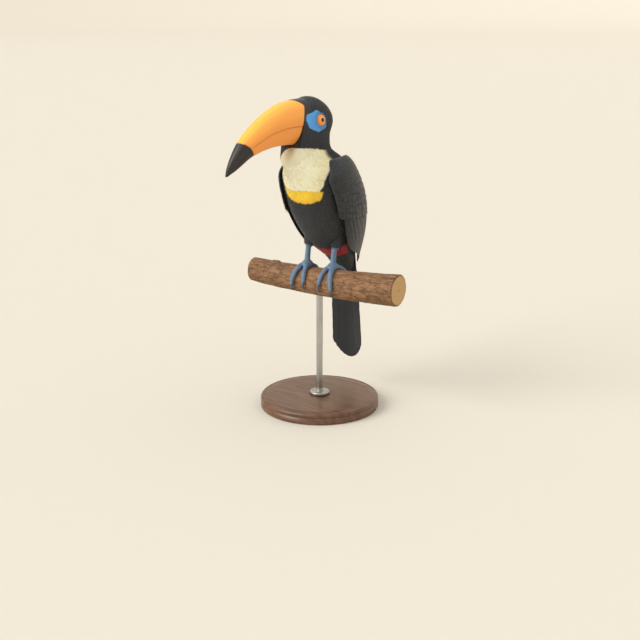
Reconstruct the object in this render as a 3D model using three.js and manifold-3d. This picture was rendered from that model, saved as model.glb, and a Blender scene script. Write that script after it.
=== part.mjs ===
// A toco toucan, life size, standing on a short cut branch that a plain display stand carries.
// Millimetres, +Z up. The bird faces -Y and its left side is +X.
// The origin is the middle of the base's underside, straight below the stand's rod.
import * as THREE from "three";
import { mergeVertices } from "three/addons/utils/BufferGeometryUtils.js";
import Module from "manifold-3d";

const wasm = await Module();
wasm.setup();

// ---------------------------------------------------------------- driving dimensions

const GAP = 0.3; // clear space between pieces that meet
const SECTION_POWER = 2.2; // superellipse power of the body's ribs, 2 is a plain ellipse

const PERCH = { height: 205, left: -128, right: 142, radius: 22, taper: 0.02, bow: 4 };
const ROD = { radius: 5, intoPerch: 12, intoBase: 12 };
const BASE = { radius: 95, thick: 18, edge: 4 };
const FLANGE = { radius: 16, thick: 5, edge: 1.5 };

const HEAD_TURN = THREE.MathUtils.degToRad(-17); // the head looks a little to the bird's right
const TURN_AXIS_Y = -10; // the vertical line that the head turns about
const TURN_WHOLE = 4.5; // ribs up to this one turn with the head
const TURN_NONE = 9; // ribs from this one on don't turn

const EYE = { radius: 10.6, x: 18.2, y: -21, h: 252.6 };
const LEG = { x: 24, ankleY: 8, ankleH: 74, footY: 1, footH: 27, radiusX: 4.6, radiusY: 5.4, waist: 0.14 };
const THIGH = { topY: 18, topH: 84, endY: 6.5, endH: 50, topRadius: 16, endRadius: 8.5 };
const PALM = { x: 8.5, y: 11, h: 7.5, above: 3.5 }; // half sizes, and its middle's height above the perch
const TAIL = {
  length: 202,
  topY: 77,
  topH: 52,
  endY: 94, // the tip hangs a little behind the root
  width: 21, // of one feather
  rootShare: 0.6, // of that width, at the feather's root
  feathers: 10,
  thick: 1.4,
  graduation: 0.12, // the outermost feather is shorter by this share
  roof: 0.35, // radians that the outermost feather is rolled by, so that the tail is a low roof
  fan: 0.026, // radians that the outermost feather leans out by
  spread: 15.5, // from the middle to the outermost feather's own middle
  arch: 5, // how far the outermost feather lies in front of the middle ones
};

// Stations of the bill from its root in the head to its tip: its ridge and its lower edge as [y, height].
const BILL = [
  { ridge: [-36, 285.5], keel: [-50, 217.5], half: 21.5 },
  { ridge: [-60, 283.3], keel: [-72, 219], half: 21 },
  { ridge: [-82, 278.3], keel: [-94, 217.4], half: 19.8 },
  { ridge: [-104, 268], keel: [-111, 214.2], half: 18 },
  { ridge: [-124, 254.8], keel: [-126, 209.4], half: 15.8 },
  { ridge: [-141.5, 240.5], keel: [-139, 203.8], half: 13.2 },
  { ridge: [-156, 225], keel: [-151, 195.6], half: 10.4 },
  { ridge: [-167, 208], keel: [-162.5, 187.6], half: 7.3 },
  { ridge: [-174.5, 193], keel: [-170.5, 183], half: 4 },
  { ridge: [-177.5, 182.5], keel: [-176, 181], half: 1.2 },
];
const LOWER_SHARE = 0.42; // the lower half's share of the bill's depth at the root
const ARCH_SHARE = 0.72; // the share of a bill section's points that lie on its arched outside
const LOWER_END = 0.93; // the lower half stops short of the upper one's tip
const LOWER_WIDTH = 0.97; // the lower half closes just inside the upper one
const BILL_TIP_HALF = 0.6;

// Ribs of the plumage's outer form, from the bill's base over the head and down to the tail's root.
// back and front are the rib's two ends in the middle plane, as [y, height above the perch's middle].
const RIBS = [
  { at: "bill base", back: [-41, 284.5], front: [-58, 219], half: 20.5 },
  { at: "lores", back: [-32, 287.5], front: [-63, 212], half: 24.5 },
  { at: "brow", back: [-19.5, 287], front: [-67, 206.5], half: 27 },
  { at: "crown", back: [-6, 282], front: [-69.5, 201.5], half: 28.5 },
  { at: "hind crown", back: [7.5, 272], front: [-71, 197], half: 29.3 },
  { at: "nape", back: [15, 256.5], front: [-71, 192], half: 30.5 },
  { at: "hind neck", back: [8.5, 236], front: [-70, 186], half: 29.5 },
  { at: "collar", back: [9, 213], front: [-67.5, 177], half: 33.5 },
  { at: "upper breast", back: [31, 195], front: [-62.5, 162], half: 46.5 },
  { at: "breast", back: [53, 165], front: [-53.5, 137], half: 50 },
  { at: "lower breast", back: [68.5, 132], front: [-40, 107], half: 48.5 },
  { at: "belly", back: [77, 101], front: [-20, 77], half: 42.5 },
  { at: "lower belly", back: [81.5, 74], front: [6, 52], half: 33.5 },
  { at: "vent", back: [84.5, 50], front: [34, 33], half: 25 },
  { at: "tail coverts", back: [85.5, 27], front: [56, 12], half: 19.5 },
  { at: "coverts' end", back: [87, 6], front: [71, -6], half: 14 },
];
const CUT_NECK = 5.6; // the rib at which head and neck part
const CUT_TRUNK = 7.6; // neck and trunk
const CUT_TAIL = 13.5; // trunk and tail

// The folded wing, along the ribs from the shoulder to the tip, in degrees round the body from the breast.
const WING = {
  shoulder: 7.2,
  tip: 14.1,
  startAngle: 98,
  frontAngle: 66,
  backAngle: 172,
  endAngle: 134,
  frontOpens: 0.16, // the share of the length over which the front edge leaves the shoulder
  backOpens: 0.22,
  frontCloses: 0.62, // from this share of the length the front edge bends to the tip
  backCloses: 0.78,
  lift: 10, // how far the outside stands off the body at the shoulder, in the middle and at the tip
  midLift: 14,
  tipLift: 6,
  edgeDrop: 3, // how much less it stands off along both edges
  thick: 11,
  tipThick: 4,
  edgeShare: 0.25, // the edges' share of that thickness
};

// Toes: way is 1 forwards and -1 back, root and end are side shifts, reach is in degrees round the perch.
const TOES = [
  { name: "front_outer", way: 1, root: 4, end: 12.5, reach: 112, radius: 4.4 },
  { name: "front_inner", way: 1, root: -4, end: -9.5, reach: 98, radius: 4.1 },
  { name: "back_outer", way: -1, root: 4, end: 12, reach: 92, radius: 4.2 },
  { name: "back_inner", way: -1, root: -3.6, end: -8.5, reach: 66, radius: 3.7 },
];
const TOE = { start: -8, taper: 0.22, pads: 3, padSwell: 0.07, press: 0.85 };
const CLAW = { degrees: 33, overlap: 3, rootRadius: 2.9, tipRadius: 0.5, arch: 2.2, flatness: 0.8 };

// ---------------------------------------------------------------- materials

const finish = (color, roughness, metalness = 0) =>
  new THREE.MeshStandardMaterial({ color, roughness, metalness });
const PLUMAGE_BLACK = finish(0x3c3b3a, 0.6);
const BILL_ORANGE = finish(0xf59b3c, 0.35);
const EYE_ORANGE = finish(0xea8a35, 0.1);
const LEG_BLUE = finish(0x5f7590, 0.55);
const CLAW_SLATE = finish(0x3d4652, 0.4);
const BARK_BROWN = finish(0x84603f, 0.85);
const BASE_WALNUT = finish(0x5a3b26, 0.4);
const ROD_STEEL = finish(0xb9b9b6, 0.35, 1);

// ---------------------------------------------------------------- solids from geometries

// A closed geometry as a solid, with its shared vertices merged and its flat triangles dropped.
function solidOf(geometry) {
  const bare = new THREE.BufferGeometry().setAttribute("position", geometry.getAttribute("position").clone());
  bare.setIndex(geometry.index);
  const merged = mergeVertices(bare, 1e-4);
  const vertProperties = merged.getAttribute("position").array;
  const corners = [];
  const index = merged.index.array;
  for (let i = 0; i < index.length; i += 3) {
    const [a, b, c] = index.subarray(i, i + 3);
    if (a !== b && b !== c && c !== a) corners.push([a, b, c]);
  }
  const build = (triangles) => {
    const triVerts = new Uint32Array(triangles.flat());
    return new wasm.Manifold(new wasm.Mesh({ numProp: 3, vertProperties, triVerts }));
  };
  const solid = build(corners);
  return solid.volume() > 0 ? solid : build(corners.map(([a, b, c]) => [a, c, b]));
}

// A solid as a named mesh.
function meshOf(name, solid, material) {
  const { numVert, numProp, vertProperties, triVerts } = solid.getMesh();
  const points = new Float32Array(numVert * 3);
  for (let i = 0; i < numVert; i++) points.set(vertProperties.subarray(i * numProp, i * numProp + 3), i * 3);
  const geometry = new THREE.BufferGeometry()
    .setAttribute("position", new THREE.BufferAttribute(points, 3))
    .setIndex(new THREE.BufferAttribute(triVerts, 1));
  geometry.computeVertexNormals();
  const mesh = new THREE.Mesh(geometry, material);
  mesh.name = name;
  return mesh;
}

// A closed skin through rings, capped at both ends. ringPoint(s, around) is a point, with both from 0 to 1.
function loft(ringPoint, rings, sides) {
  const points = [];
  const middle = (s) => {
    const sum = new THREE.Vector3();
    for (let j = 0; j < sides; j++) sum.add(ringPoint(s, j / sides));
    return sum.divideScalar(sides);
  };
  for (let i = 0; i <= rings; i++)
    for (let j = 0; j < sides; j++) points.push(ringPoint(i / rings, j / sides));
  const [first, last] = [points.length, points.length + 1];
  points.push(middle(0), middle(1));
  const corners = [];
  for (let i = 0; i < rings; i++)
    for (let j = 0; j < sides; j++) {
      const [a, b] = [i * sides + j, i * sides + ((j + 1) % sides)];
      corners.push(a, b, b + sides, a, b + sides, a + sides);
    }
  for (let j = 0; j < sides; j++) {
    const next = (j + 1) % sides;
    corners.push(first, next, j, last, rings * sides + j, rings * sides + next);
  }
  return new THREE.BufferGeometry().setFromPoints(points).setIndex(corners);
}

// A tapered tube along a curve, with an oval section: radii(s) gives [across X, in the path's plane].
function tube(curve, radii, rings, sides) {
  const along = new THREE.Vector3();
  return loft(
    (s, around) => {
      const centre = curve(s);
      along.copy(curve(Math.min(1, s + 0.01))).sub(curve(Math.max(0, s - 0.01))).normalize();
      const across = new THREE.Vector3(1, 0, 0).addScaledVector(along, -along.x).normalize();
      const inPlane = new THREE.Vector3().crossVectors(along, across);
      const [rx, ry] = radii(s);
      const angle = 2 * Math.PI * around;
      centre.addScaledVector(across, rx * Math.cos(angle));
      return centre.addScaledVector(inPlane, ry * Math.sin(angle));
    },
    rings,
    sides,
  );
}

const union = (solids) => solids.reduce((a, b) => a.add(b));

// A solid with its clear space: the union of its copies moved a little each way.
function fattened(solid) {
  const steps = [0, 1, 2].flatMap((axis) => [-GAP, GAP].map((move) => [0, 0, 0].with(axis, move)));
  return union([solid, ...steps.map((step) => solid.translate(step))]);
}

const mix = THREE.MathUtils.lerp;
const ramp = (x, from, to) => THREE.MathUtils.smoothstep(x, from, to);
const aboveFloor = (h) => PERCH.height + h;
const signedPower = (x, power) => Math.sign(x) * Math.abs(x) ** power;

// ---------------------------------------------------------------- the body's form

const LAST_RIB = RIBS.length - 1;
const backLine = new THREE.SplineCurve(RIBS.map((r) => new THREE.Vector2(...r.back)));
const frontLine = new THREE.SplineCurve(RIBS.map((r) => new THREE.Vector2(...r.front)));
const halfLine = new THREE.SplineCurve(RIBS.map((r) => new THREE.Vector2(r.half, 0)));

// A point turned with the head by `angle` about the turning axis.
function turned(point, angle) {
  const y = point.y - TURN_AXIS_Y;
  const [c, s] = [Math.cos(angle), Math.sin(angle)];
  return point.set(point.x * c - y * s, point.x * s + y * c + TURN_AXIS_Y, point.z);
}

// A point of the plumage's form. rib counts from the bill, angle turns from the breast to the bird's left.
function bodyPoint(rib, angle, grow = 0) {
  const t = rib / LAST_RIB;
  const [back, front] = [backLine.getPoint(t), frontLine.getPoint(t)];
  const depth = back.distanceTo(front) / 2;
  const reach = (depth + grow) / depth;
  const half = halfLine.getPoint(t).x + grow;
  const along = -signedPower(Math.cos(angle), 2 / SECTION_POWER) * reach;
  const point = new THREE.Vector3(
    half * signedPower(Math.sin(angle), 2 / SECTION_POWER),
    (back.x + front.x) / 2 + (along * (back.x - front.x)) / 2,
    aboveFloor((back.y + front.y) / 2 + (along * (back.y - front.y)) / 2),
  );
  return turned(point, HEAD_TURN * (1 - ramp(rib, TURN_WHOLE, TURN_NONE)));
}

function bodyForm(grow, rings = 30, sides = 20) {
  return solidOf(loft((s, around) => bodyPoint(s * LAST_RIB, 2 * Math.PI * around, grow), rings, sides));
}

// The cutting plane through one rib, as its unit normal (towards the tail) and its distance from the origin.
function ribPlane(rib) {
  const [front, left, right] = [bodyPoint(rib, 0), bodyPoint(rib, 1.8), bodyPoint(rib, -1.8)];
  const normal = left.sub(front).cross(right.sub(front)).normalize();
  if (normal.z > 0) normal.negate();
  return { normal, distance: normal.dot(front) };
}

// The part of a solid on the head's side of one rib and on the tail's side of another.
function between(solid, from, to) {
  let part = solid;
  if (from !== null) {
    const { normal, distance } = ribPlane(from);
    part = part.trimByPlane(normal.toArray(), distance + GAP / 2);
  }
  if (to !== null) {
    const { normal, distance } = ribPlane(to);
    part = part.trimByPlane(normal.clone().negate().toArray(), -distance + GAP / 2);
  }
  return part;
}

// ---------------------------------------------------------------- bill and eyes

const ridgeLine = new THREE.SplineCurve(BILL.map((b) => new THREE.Vector2(...b.ridge)));
const keelLine = new THREE.SplineCurve(BILL.map((b) => new THREE.Vector2(...b.keel)));
const billHalfLine = new THREE.SplineCurve(BILL.map((b) => new THREE.Vector2(b.half, 0)));

// A point of one half of the bill: side is 1 for the upper half and -1 for the lower, around is 0 to 1.
// The first part of the ring arches over the outside, and the rest runs flat along the cutting edge.
function billPoint(side, s, around) {
  const upper = side > 0;
  const t = upper ? s : s * LOWER_END;
  const [ridge, keel] = [ridgeLine.getPoint(t), keelLine.getPoint(t)];
  const edge = keel.clone().lerp(ridge, LOWER_SHARE * (1 - t ** 5));
  const outer = upper ? ridge : keel;
  const closing = upper ? 1 : (1 - s ** 10) ** 0.6;
  const half = Math.max(BILL_TIP_HALF, billHalfLine.getPoint(t).x * closing * (upper ? 1 : LOWER_WIDTH));
  const angle = Math.PI * Math.min(1, around / ARCH_SHARE);
  const flat = Math.max(0, (around - ARCH_SHARE) / (1 - ARCH_SHARE));
  const x = half * (flat > 0 ? mix(-1, 1, flat) : signedPower(Math.cos(angle), 0.8));
  const rise = flat > 0 ? 0 : closing * signedPower(Math.sin(angle), 0.85);
  const away = outer.clone().sub(edge).normalize();
  const at = edge.clone().lerp(outer, rise).addScaledVector(away, GAP / 2);
  return turned(new THREE.Vector3(x, at.x, aboveFloor(at.y)), HEAD_TURN);
}

function bill(side) {
  return solidOf(loft((s, around) => billPoint(side, s, around), side > 0 ? 16 : 12, 14));
}

function eyeball(side, grow = 0) {
  const centre = turned(new THREE.Vector3(side * EYE.x, EYE.y, aboveFloor(EYE.h)), HEAD_TURN);
  return solidOf(new THREE.SphereGeometry(EYE.radius + grow, 10, 8)).translate(centre.toArray());
}

// ---------------------------------------------------------------- wings and tail

// A point of the folded wing: along is 0 at the shoulder and 1 at the tip, and across is -1 at the front edge
// and 1 at the back edge.
function wingPoint(side, along, across, inset) {
  const frontOpening = (1 - Math.min(1, along / WING.frontOpens)) ** 2;
  const backOpening = (1 - Math.min(1, along / WING.backOpens)) ** 2;
  const frontClosing = ramp(along, WING.frontCloses, 1) ** 1.25;
  const backClosing = ramp(along, WING.backCloses, 1) ** 1.5;
  const front = mix(mix(WING.frontAngle, WING.startAngle, frontOpening), WING.endAngle, frontClosing);
  const back = mix(mix(WING.backAngle, WING.startAngle, backOpening), WING.endAngle, backClosing);
  const angle = THREE.MathUtils.degToRad(mix(front, back, (across + 1) / 2));
  const swell = ramp(along, 0, 0.5) * (1 - ramp(along, 0.6, 1));
  const endLift = mix(WING.lift, WING.tipLift, ramp(along, 0.55, 1));
  const lift = mix(endLift, WING.midLift, swell) - WING.edgeDrop * across ** 4;
  return bodyPoint(mix(WING.shoulder, WING.tip, along), side * angle, lift - inset);
}

function wing(side) {
  const ring = (along, around) => {
    const outside = around < 0.5;
    const across = outside ? mix(-1, 1, 2 * around) : mix(1, -1, 2 * around - 1);
    const thick = mix(WING.thick, WING.tipThick, along) * mix(1, WING.edgeShare, across ** 8);
    return wingPoint(side, along, across, outside ? 0 : thick);
  };
  return solidOf(loft(ring, 14, 14));
}

// One tail feather: a long blade with a rounded tip. place runs from -1 on the right to 1 on the left.
function tailFeather(place) {
  const half = TAIL.width / 2;
  const length = TAIL.length * (1 - TAIL.graduation * place ** 2);
  const tip = half * 1.2;
  const outline = new THREE.Shape();
  outline.moveTo(half * TAIL.rootShare, 0);
  outline.lineTo(half, -length / 2);
  outline.lineTo(half, tip - length);
  outline.absellipse(0, tip - length, half, tip, 0, -Math.PI, true);
  outline.lineTo(-half, -length / 2);
  outline.lineTo(-half * TAIL.rootShare, 0);
  const flat = { depth: TAIL.thick, bevelEnabled: false, curveSegments: 2 };
  const blade = new THREE.ExtrudeGeometry(outline, flat);
  blade.rotateX(Math.PI / 2); // its length now runs down, and its thickness towards the front
  blade.rotateZ(-place * TAIL.roof);
  blade.rotateY(-place * TAIL.fan);
  blade.translate(place * TAIL.spread, -TAIL.arch * place ** 2, 0);
  blade.rotateX(Math.atan2(TAIL.endY - TAIL.topY, TAIL.length));
  return solidOf(blade.translate(0, TAIL.topY, aboveFloor(TAIL.topH)));
}

function tailBlades() {
  const places = Array.from({ length: TAIL.feathers }, (_, i) => (2 * i + 1) / TAIL.feathers - 1);
  return union(places.map(tailFeather));
}

// ---------------------------------------------------------------- legs and feet

const perchRadius = (x) => PERCH.radius + PERCH.taper * x;
const perchRise = (x) => PERCH.bow * (x / PERCH.left) ** 2;

function thigh(side) {
  const top = new THREE.Vector3(side * LEG.x, THIGH.topY, aboveFloor(THIGH.topH));
  const end = new THREE.Vector3(side * LEG.x, THIGH.endY, aboveFloor(THIGH.endH));
  const radius = (s) => mix(THIGH.topRadius, THIGH.endRadius, s ** 0.8) * Math.sqrt(1 - s ** 10);
  return solidOf(tube((s) => top.clone().lerp(end, s), (s) => [radius(s), radius(s)], 6, 12));
}

// The bare lower leg, from inside the foot up into the thigh.
function shank(side, grow = 0) {
  const low = new THREE.Vector3(side * LEG.x, LEG.footY, aboveFloor(LEG.footH));
  const ankle = new THREE.Vector3(side * LEG.x, LEG.ankleY, aboveFloor(LEG.ankleH));
  const waist = (s) => 1 - LEG.waist * Math.sin(Math.PI * s);
  const radii = (s) => [LEG.radiusX * waist(s) + grow, LEG.radiusY * waist(s) + grow];
  return solidOf(tube((s) => low.clone().lerp(ankle, s), radii, 5, 9));
}

// A point on the path of one toe's middle, `degrees` round the perch from the toe's root.
function toePath(side, digit, degrees, radius) {
  const x = side * (LEG.x + mix(digit.root, digit.end, ramp(degrees / digit.reach, 0, 1)));
  const angle = THREE.MathUtils.degToRad(degrees + TOE.start);
  const out = perchRadius(x) + radius * TOE.press;
  const height = aboveFloor(perchRise(x) + out * Math.cos(angle));
  return new THREE.Vector3(x, -digit.way * out * Math.sin(angle), height);
}

function toe(side, digit, grow = 0) {
  const radius = (s) => digit.radius * (1 - TOE.taper * s);
  const swell = (s) => 1 + TOE.padSwell * Math.cos(2 * Math.PI * TOE.pads * s);
  const pad = (s) => radius(s) * swell(s) * (1 - s ** 12) ** 0.4 + grow;
  const path = (s) => toePath(side, digit, s * (digit.reach + grow), radius(s));
  return solidOf(tube(path, (s) => [pad(s), pad(s)], 7, 6));
}

// A claw starts inside its toe's end and bows away from the perch before its tip comes back to it.
function claw(side, digit) {
  const radius = (s) => mix(CLAW.rootRadius, CLAW.tipRadius, s ** 0.8);
  const off = (s) => (radius(s) + CLAW.arch * Math.sin(Math.PI * s ** 0.8)) / TOE.press;
  const path = (s) => toePath(side, digit, digit.reach - CLAW.overlap + s * CLAW.degrees, off(s));
  return solidOf(tube(path, (s) => [radius(s) * CLAW.flatness, radius(s)], 4, 6));
}

function foot(side) {
  const palm = solidOf(new THREE.SphereGeometry(1, 9, 6).scale(PALM.x, PALM.y, PALM.h));
  const height = aboveFloor(perchRadius(side * LEG.x) + PALM.above);
  const placed = palm.translate([side * LEG.x, LEG.footY, height]);
  return union([placed, ...TOES.map((digit) => toe(side, digit))]);
}

// ---------------------------------------------------------------- perch and stand

function perch(grow = 0) {
  const ring = (s, around) => {
    const x = mix(PERCH.left - grow, PERCH.right + grow, s);
    const radius = perchRadius(x) + grow;
    const angle = 2 * Math.PI * around;
    const height = aboveFloor(perchRise(x) + radius * Math.sin(angle));
    return new THREE.Vector3(x, radius * Math.cos(angle), height);
  };
  return solidOf(loft(ring, 7, 20));
}

function rod(grow = 0) {
  const top = aboveFloor(-PERCH.radius + ROD.intoPerch) + grow;
  const bottom = BASE.thick - ROD.intoBase - grow;
  const radius = ROD.radius + grow;
  const pin = new THREE.CylinderGeometry(radius, radius, top - bottom, 16);
  return solidOf(pin.rotateX(Math.PI / 2).translate(0, 0, (top + bottom) / 2));
}

// A disc with a rounded top edge, turned about the rod's line, with its underside at height `from`.
function disc({ radius, thick, edge }, from, sides) {
  const arc = [0, 0.5, 1].map((step) => {
    const angle = (step * Math.PI) / 2;
    return [radius - edge * (1 - Math.cos(angle)), thick - edge * (1 - Math.sin(angle))];
  });
  const corners = [[0, 0], [radius - edge / 2, 0], [radius, edge / 2], ...arc, [0, thick]];
  const profile = corners.map(([r, h]) => new THREE.Vector2(r, h));
  return solidOf(new THREE.LatheGeometry(profile, sides).rotateX(Math.PI / 2).translate(0, 0, from));
}

// ---------------------------------------------------------------- the bird and its stand

const part = new THREE.Group();
const place = (name, solid, material) => part.add(meshOf(name, solid, material));
const sides = { left: 1, right: -1 };

const body = bodyForm(0);
const bodyRoom = bodyForm(GAP).add(body.translate([0, -GAP, 0]));
const blades = tailBlades();
const bladesRoom = fattened(blades);
const perchRoom = perch(GAP);
const eyeRoom = eyeball(1, GAP).add(eyeball(-1, GAP));
const rodRoom = rod(GAP);

place("bill_upper", bill(1).subtract(bodyRoom), BILL_ORANGE);
place("bill_lower", bill(-1).subtract(bodyRoom), BILL_ORANGE);
place("head", between(body, null, CUT_NECK).subtract(eyeRoom), PLUMAGE_BLACK);
place("neck", between(body, CUT_NECK, CUT_TRUNK), PLUMAGE_BLACK);
place("trunk", between(body, CUT_TRUNK, CUT_TAIL), PLUMAGE_BLACK);
place("tail", between(body.add(blades), CUT_TAIL, null), PLUMAGE_BLACK);

for (const [name, side] of Object.entries(sides)) {
  const shankRoom = shank(side, GAP);
  const folded = wing(side).subtract(bodyRoom).subtract(bladesRoom);
  const thighRoom = union([bodyRoom, shankRoom, fattened(folded)]);
  place(`eye_${name}`, eyeball(side), EYE_ORANGE);
  place(`wing_${name}`, folded, PLUMAGE_BLACK);
  place(`thigh_${name}`, thigh(side).subtract(thighRoom), PLUMAGE_BLACK);
  place(`shank_${name}`, shank(side).subtract(bodyRoom), LEG_BLUE);
  place(`foot_${name}`, foot(side).subtract(perchRoom).subtract(shankRoom), LEG_BLUE);
  for (const digit of TOES) {
    const cut = claw(side, digit).subtract(perchRoom).subtract(toe(side, digit, 2 * GAP));
    place(`claw_${name}_${digit.name}`, cut, CLAW_SLATE);
  }
}

place("perch", perch().subtract(rodRoom), BARK_BROWN);
place("stand_rod", rod(), ROD_STEEL);
place("stand_flange", disc(FLANGE, BASE.thick + GAP, 16).subtract(rodRoom), ROD_STEEL);
place("stand_base", disc(BASE, 0, 36).subtract(rodRoom), BASE_WALNUT);

export default part;
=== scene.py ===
"""The finished surfaces of a toco toucan, life size, on a cut perch that a plain display stand carries.

Shapes are worked out in millimetres as numpy surfaces and put into meshes in metres. The bird faces -Y and
its left side is +X. The body is one loft of ribs: a rib number runs from the bill's base over the head and
down to the tail, which is also the lie of the feathers, and an angle runs round the body from the breast to
the bird's left.
"""

import logging
import math
from dataclasses import dataclass
from enum import Enum
from itertools import product
from typing import Callable, Sequence

import bpy
import numpy as np
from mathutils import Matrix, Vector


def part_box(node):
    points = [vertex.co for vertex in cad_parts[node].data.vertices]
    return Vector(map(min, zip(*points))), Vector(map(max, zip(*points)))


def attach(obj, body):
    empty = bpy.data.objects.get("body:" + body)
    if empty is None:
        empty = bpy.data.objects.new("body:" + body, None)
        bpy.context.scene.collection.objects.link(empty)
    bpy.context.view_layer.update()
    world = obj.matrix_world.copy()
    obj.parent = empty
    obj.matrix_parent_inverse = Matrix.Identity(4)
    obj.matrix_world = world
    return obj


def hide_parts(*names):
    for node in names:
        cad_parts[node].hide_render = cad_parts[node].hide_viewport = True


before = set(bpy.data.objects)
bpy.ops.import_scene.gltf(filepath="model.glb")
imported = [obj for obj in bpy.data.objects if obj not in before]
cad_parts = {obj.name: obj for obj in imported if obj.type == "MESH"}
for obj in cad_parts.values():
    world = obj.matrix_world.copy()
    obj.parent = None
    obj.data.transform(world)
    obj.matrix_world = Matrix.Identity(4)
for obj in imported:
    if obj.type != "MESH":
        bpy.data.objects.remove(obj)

Array = np.ndarray
Surface = Callable[[Array, Array], tuple[Array, Array]]
Chance = np.random.Generator
Pair = tuple[float, float]
Material = bpy.types.Material
Socket = bpy.types.NodeSocket
Piece = bpy.types.Object

LOG = logging.getLogger("toucan")
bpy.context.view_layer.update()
MM = 0.001  # metres in a millimetre
BAKE_MAP = "OFBake"
BAKE_PATCH = 0.003  # side of one feather's patch on that map
FULL_TURN = 2.0 * math.pi
LAYER_KINDS = {4: ("FLOAT_COLOR", "color"), 3: ("FLOAT_VECTOR", "vector"), 1: ("FLOAT", "value")}


class Side(Enum):
    """A side of the bird, with its sign along X."""

    LEFT = 1
    RIGHT = -1

    @property
    def word(self) -> str:
        """The side's name in lower case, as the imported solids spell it."""
        return self.name.lower()


# ------------------------------------------------------------------ numbers and curves


def ramp(value: Array, start: float, end: float) -> Array:
    """A smooth step, x squared times (3 - 2x), from 0 at start to 1 at end."""
    x = np.clip((np.asarray(value, float) - start) / (end - start), 0.0, 1.0)
    return x * x * (3.0 - 2.0 * x)


def mix(a: Array, b: Array, share: Array) -> Array:
    """The value that lies share of the way from a to b."""
    return a + (b - a) * share


def signed_power(value: Array, power: float) -> Array:
    """The value's size raised to a power, with its sign kept."""
    return np.sign(value) * np.abs(value) ** power


def unit(vectors: Array) -> Array:
    """Vectors scaled to length 1 along their last axis."""
    return vectors / np.maximum(np.linalg.norm(vectors, axis=-1, keepdims=True), 1e-12)


def bell(value: Array, middle: float, width: float) -> Array:
    """A bump of height 1 at middle, exp(-((value - middle) / width) squared)."""
    return np.exp(-(((value - middle) / width) ** 2))


def turns(count: int) -> Array:
    """That many angles, evenly spaced round a full turn from 0."""
    return np.linspace(0.0, FULL_TURN, count, endpoint=False)


def wrapped(angle: Array) -> Array:
    """Angles brought into the half turn to each side of 0."""
    return (angle + math.pi) % FULL_TURN - math.pi


def together(*parts: Array) -> Array:
    """Arrays stretched to one shape and set side by side along a new last axis."""
    return np.stack(np.broadcast_arrays(*parts), axis=-1)


def spline(stations: Array, at: Array) -> Array:
    """A smooth curve through evenly numbered stations (uniform Catmull-Rom).

    Args:
        stations: One row of values for each station.
        at: Station numbers, whole or between two stations.

    Returns:
        The curve's values, with the stations' columns as the last axis.
    """
    last = len(stations) - 1
    at = np.clip(np.asarray(at, float), 0.0, last)
    k = np.minimum(at.astype(int), last - 1)
    t = (at - k)[..., None]
    before, here, there, after = (stations[np.clip(k + i, 0, last)] for i in (-1, 0, 1, 2))
    v0, v1 = (there - before) / 2, (after - here) / 2
    cubic = (2 * here - 2 * there + v0 + v1) * t**3 + (3 * there - 3 * here - 2 * v0 - v1) * t**2
    return cubic + v0 * t + here


def noise(points: Array, scale: float, seed: int) -> Array:
    """Smooth noise from -1 to 1: hashed values on a cubic lattice, blended by a smooth step on each axis.

    Args:
        points: Positions, with three coordinates as the last axis.
        scale: The lattice's spacing, in the points' own units.
        seed: Picks another pattern.

    Returns:
        One value for each position.
    """
    place = np.asarray(points, float) / scale
    cell = np.floor(place).astype(np.int64)
    share = ramp(place - cell, 0.0, 1.0)
    total = np.zeros(place.shape[:-1])
    for corner in product((0, 1), repeat=3):
        at = cell + np.array(corner)
        mixed = at[..., 0] * 73856093 ^ at[..., 1] * 19349663 ^ at[..., 2] * 83492791 ^ seed * 97531
        mixed = ((mixed ^ (mixed >> 13)) * 1274126177) & 0xFFFFFFFF
        value = (mixed ^ (mixed >> 16)) / 0xFFFFFFFF * 2.0 - 1.0
        weight = np.prod(np.where(np.array(corner, bool), share, 1.0 - share), axis=-1)
        total += value * weight
    return total


def layered_noise(points: Array, scale: float, seed: int) -> Array:
    """Noise in three layers: each has half the spacing and half the height of the one before."""
    return sum(noise(points, scale / 2**i, seed + i) / 2**i for i in range(3)) / 1.6


def linear(hex_colour: int) -> Array:
    """A screen colour, written as 0xRRGGBB, as linear red, green, blue and a full alpha."""
    shares = np.array([hex_colour >> 16 & 255, hex_colour >> 8 & 255, hex_colour & 255]) / 255.0
    light = np.where(shares <= 0.04045, shares / 12.92, ((shares + 0.055) / 1.055) ** 2.4)
    return np.append(light, 1.0)


def socket_colour(colour: object) -> object:
    """A colour as a socket takes it: 0xRRGGBB and arrays become four numbers, a socket stays."""
    if isinstance(colour, int):
        colour = linear(colour)
    return tuple(colour) if isinstance(colour, np.ndarray) else colour


def clearance(points: Array, samples: Array, normals: Array) -> Array:
    """How far points stand outside a sampled surface: the offset from the nearest sample along its normal.

    Args:
        points: Positions to measure, one to a row.
        samples: Points of the surface.
        normals: The surface's outward normals there.

    Returns:
        Distances, negative inside the surface.
    """
    result = np.empty(len(points))
    for start in range(0, len(points), 2000):
        part = points[start : start + 2000]
        gaps = (part**2).sum(1)[:, None] - 2.0 * part @ samples.T + (samples**2).sum(1)
        nearest = gaps.argmin(1)
        result[start : start + 2000] = ((part - samples[nearest]) * normals[nearest]).sum(1)
    return result


# ------------------------------------------------------------------ shells and meshes


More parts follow.
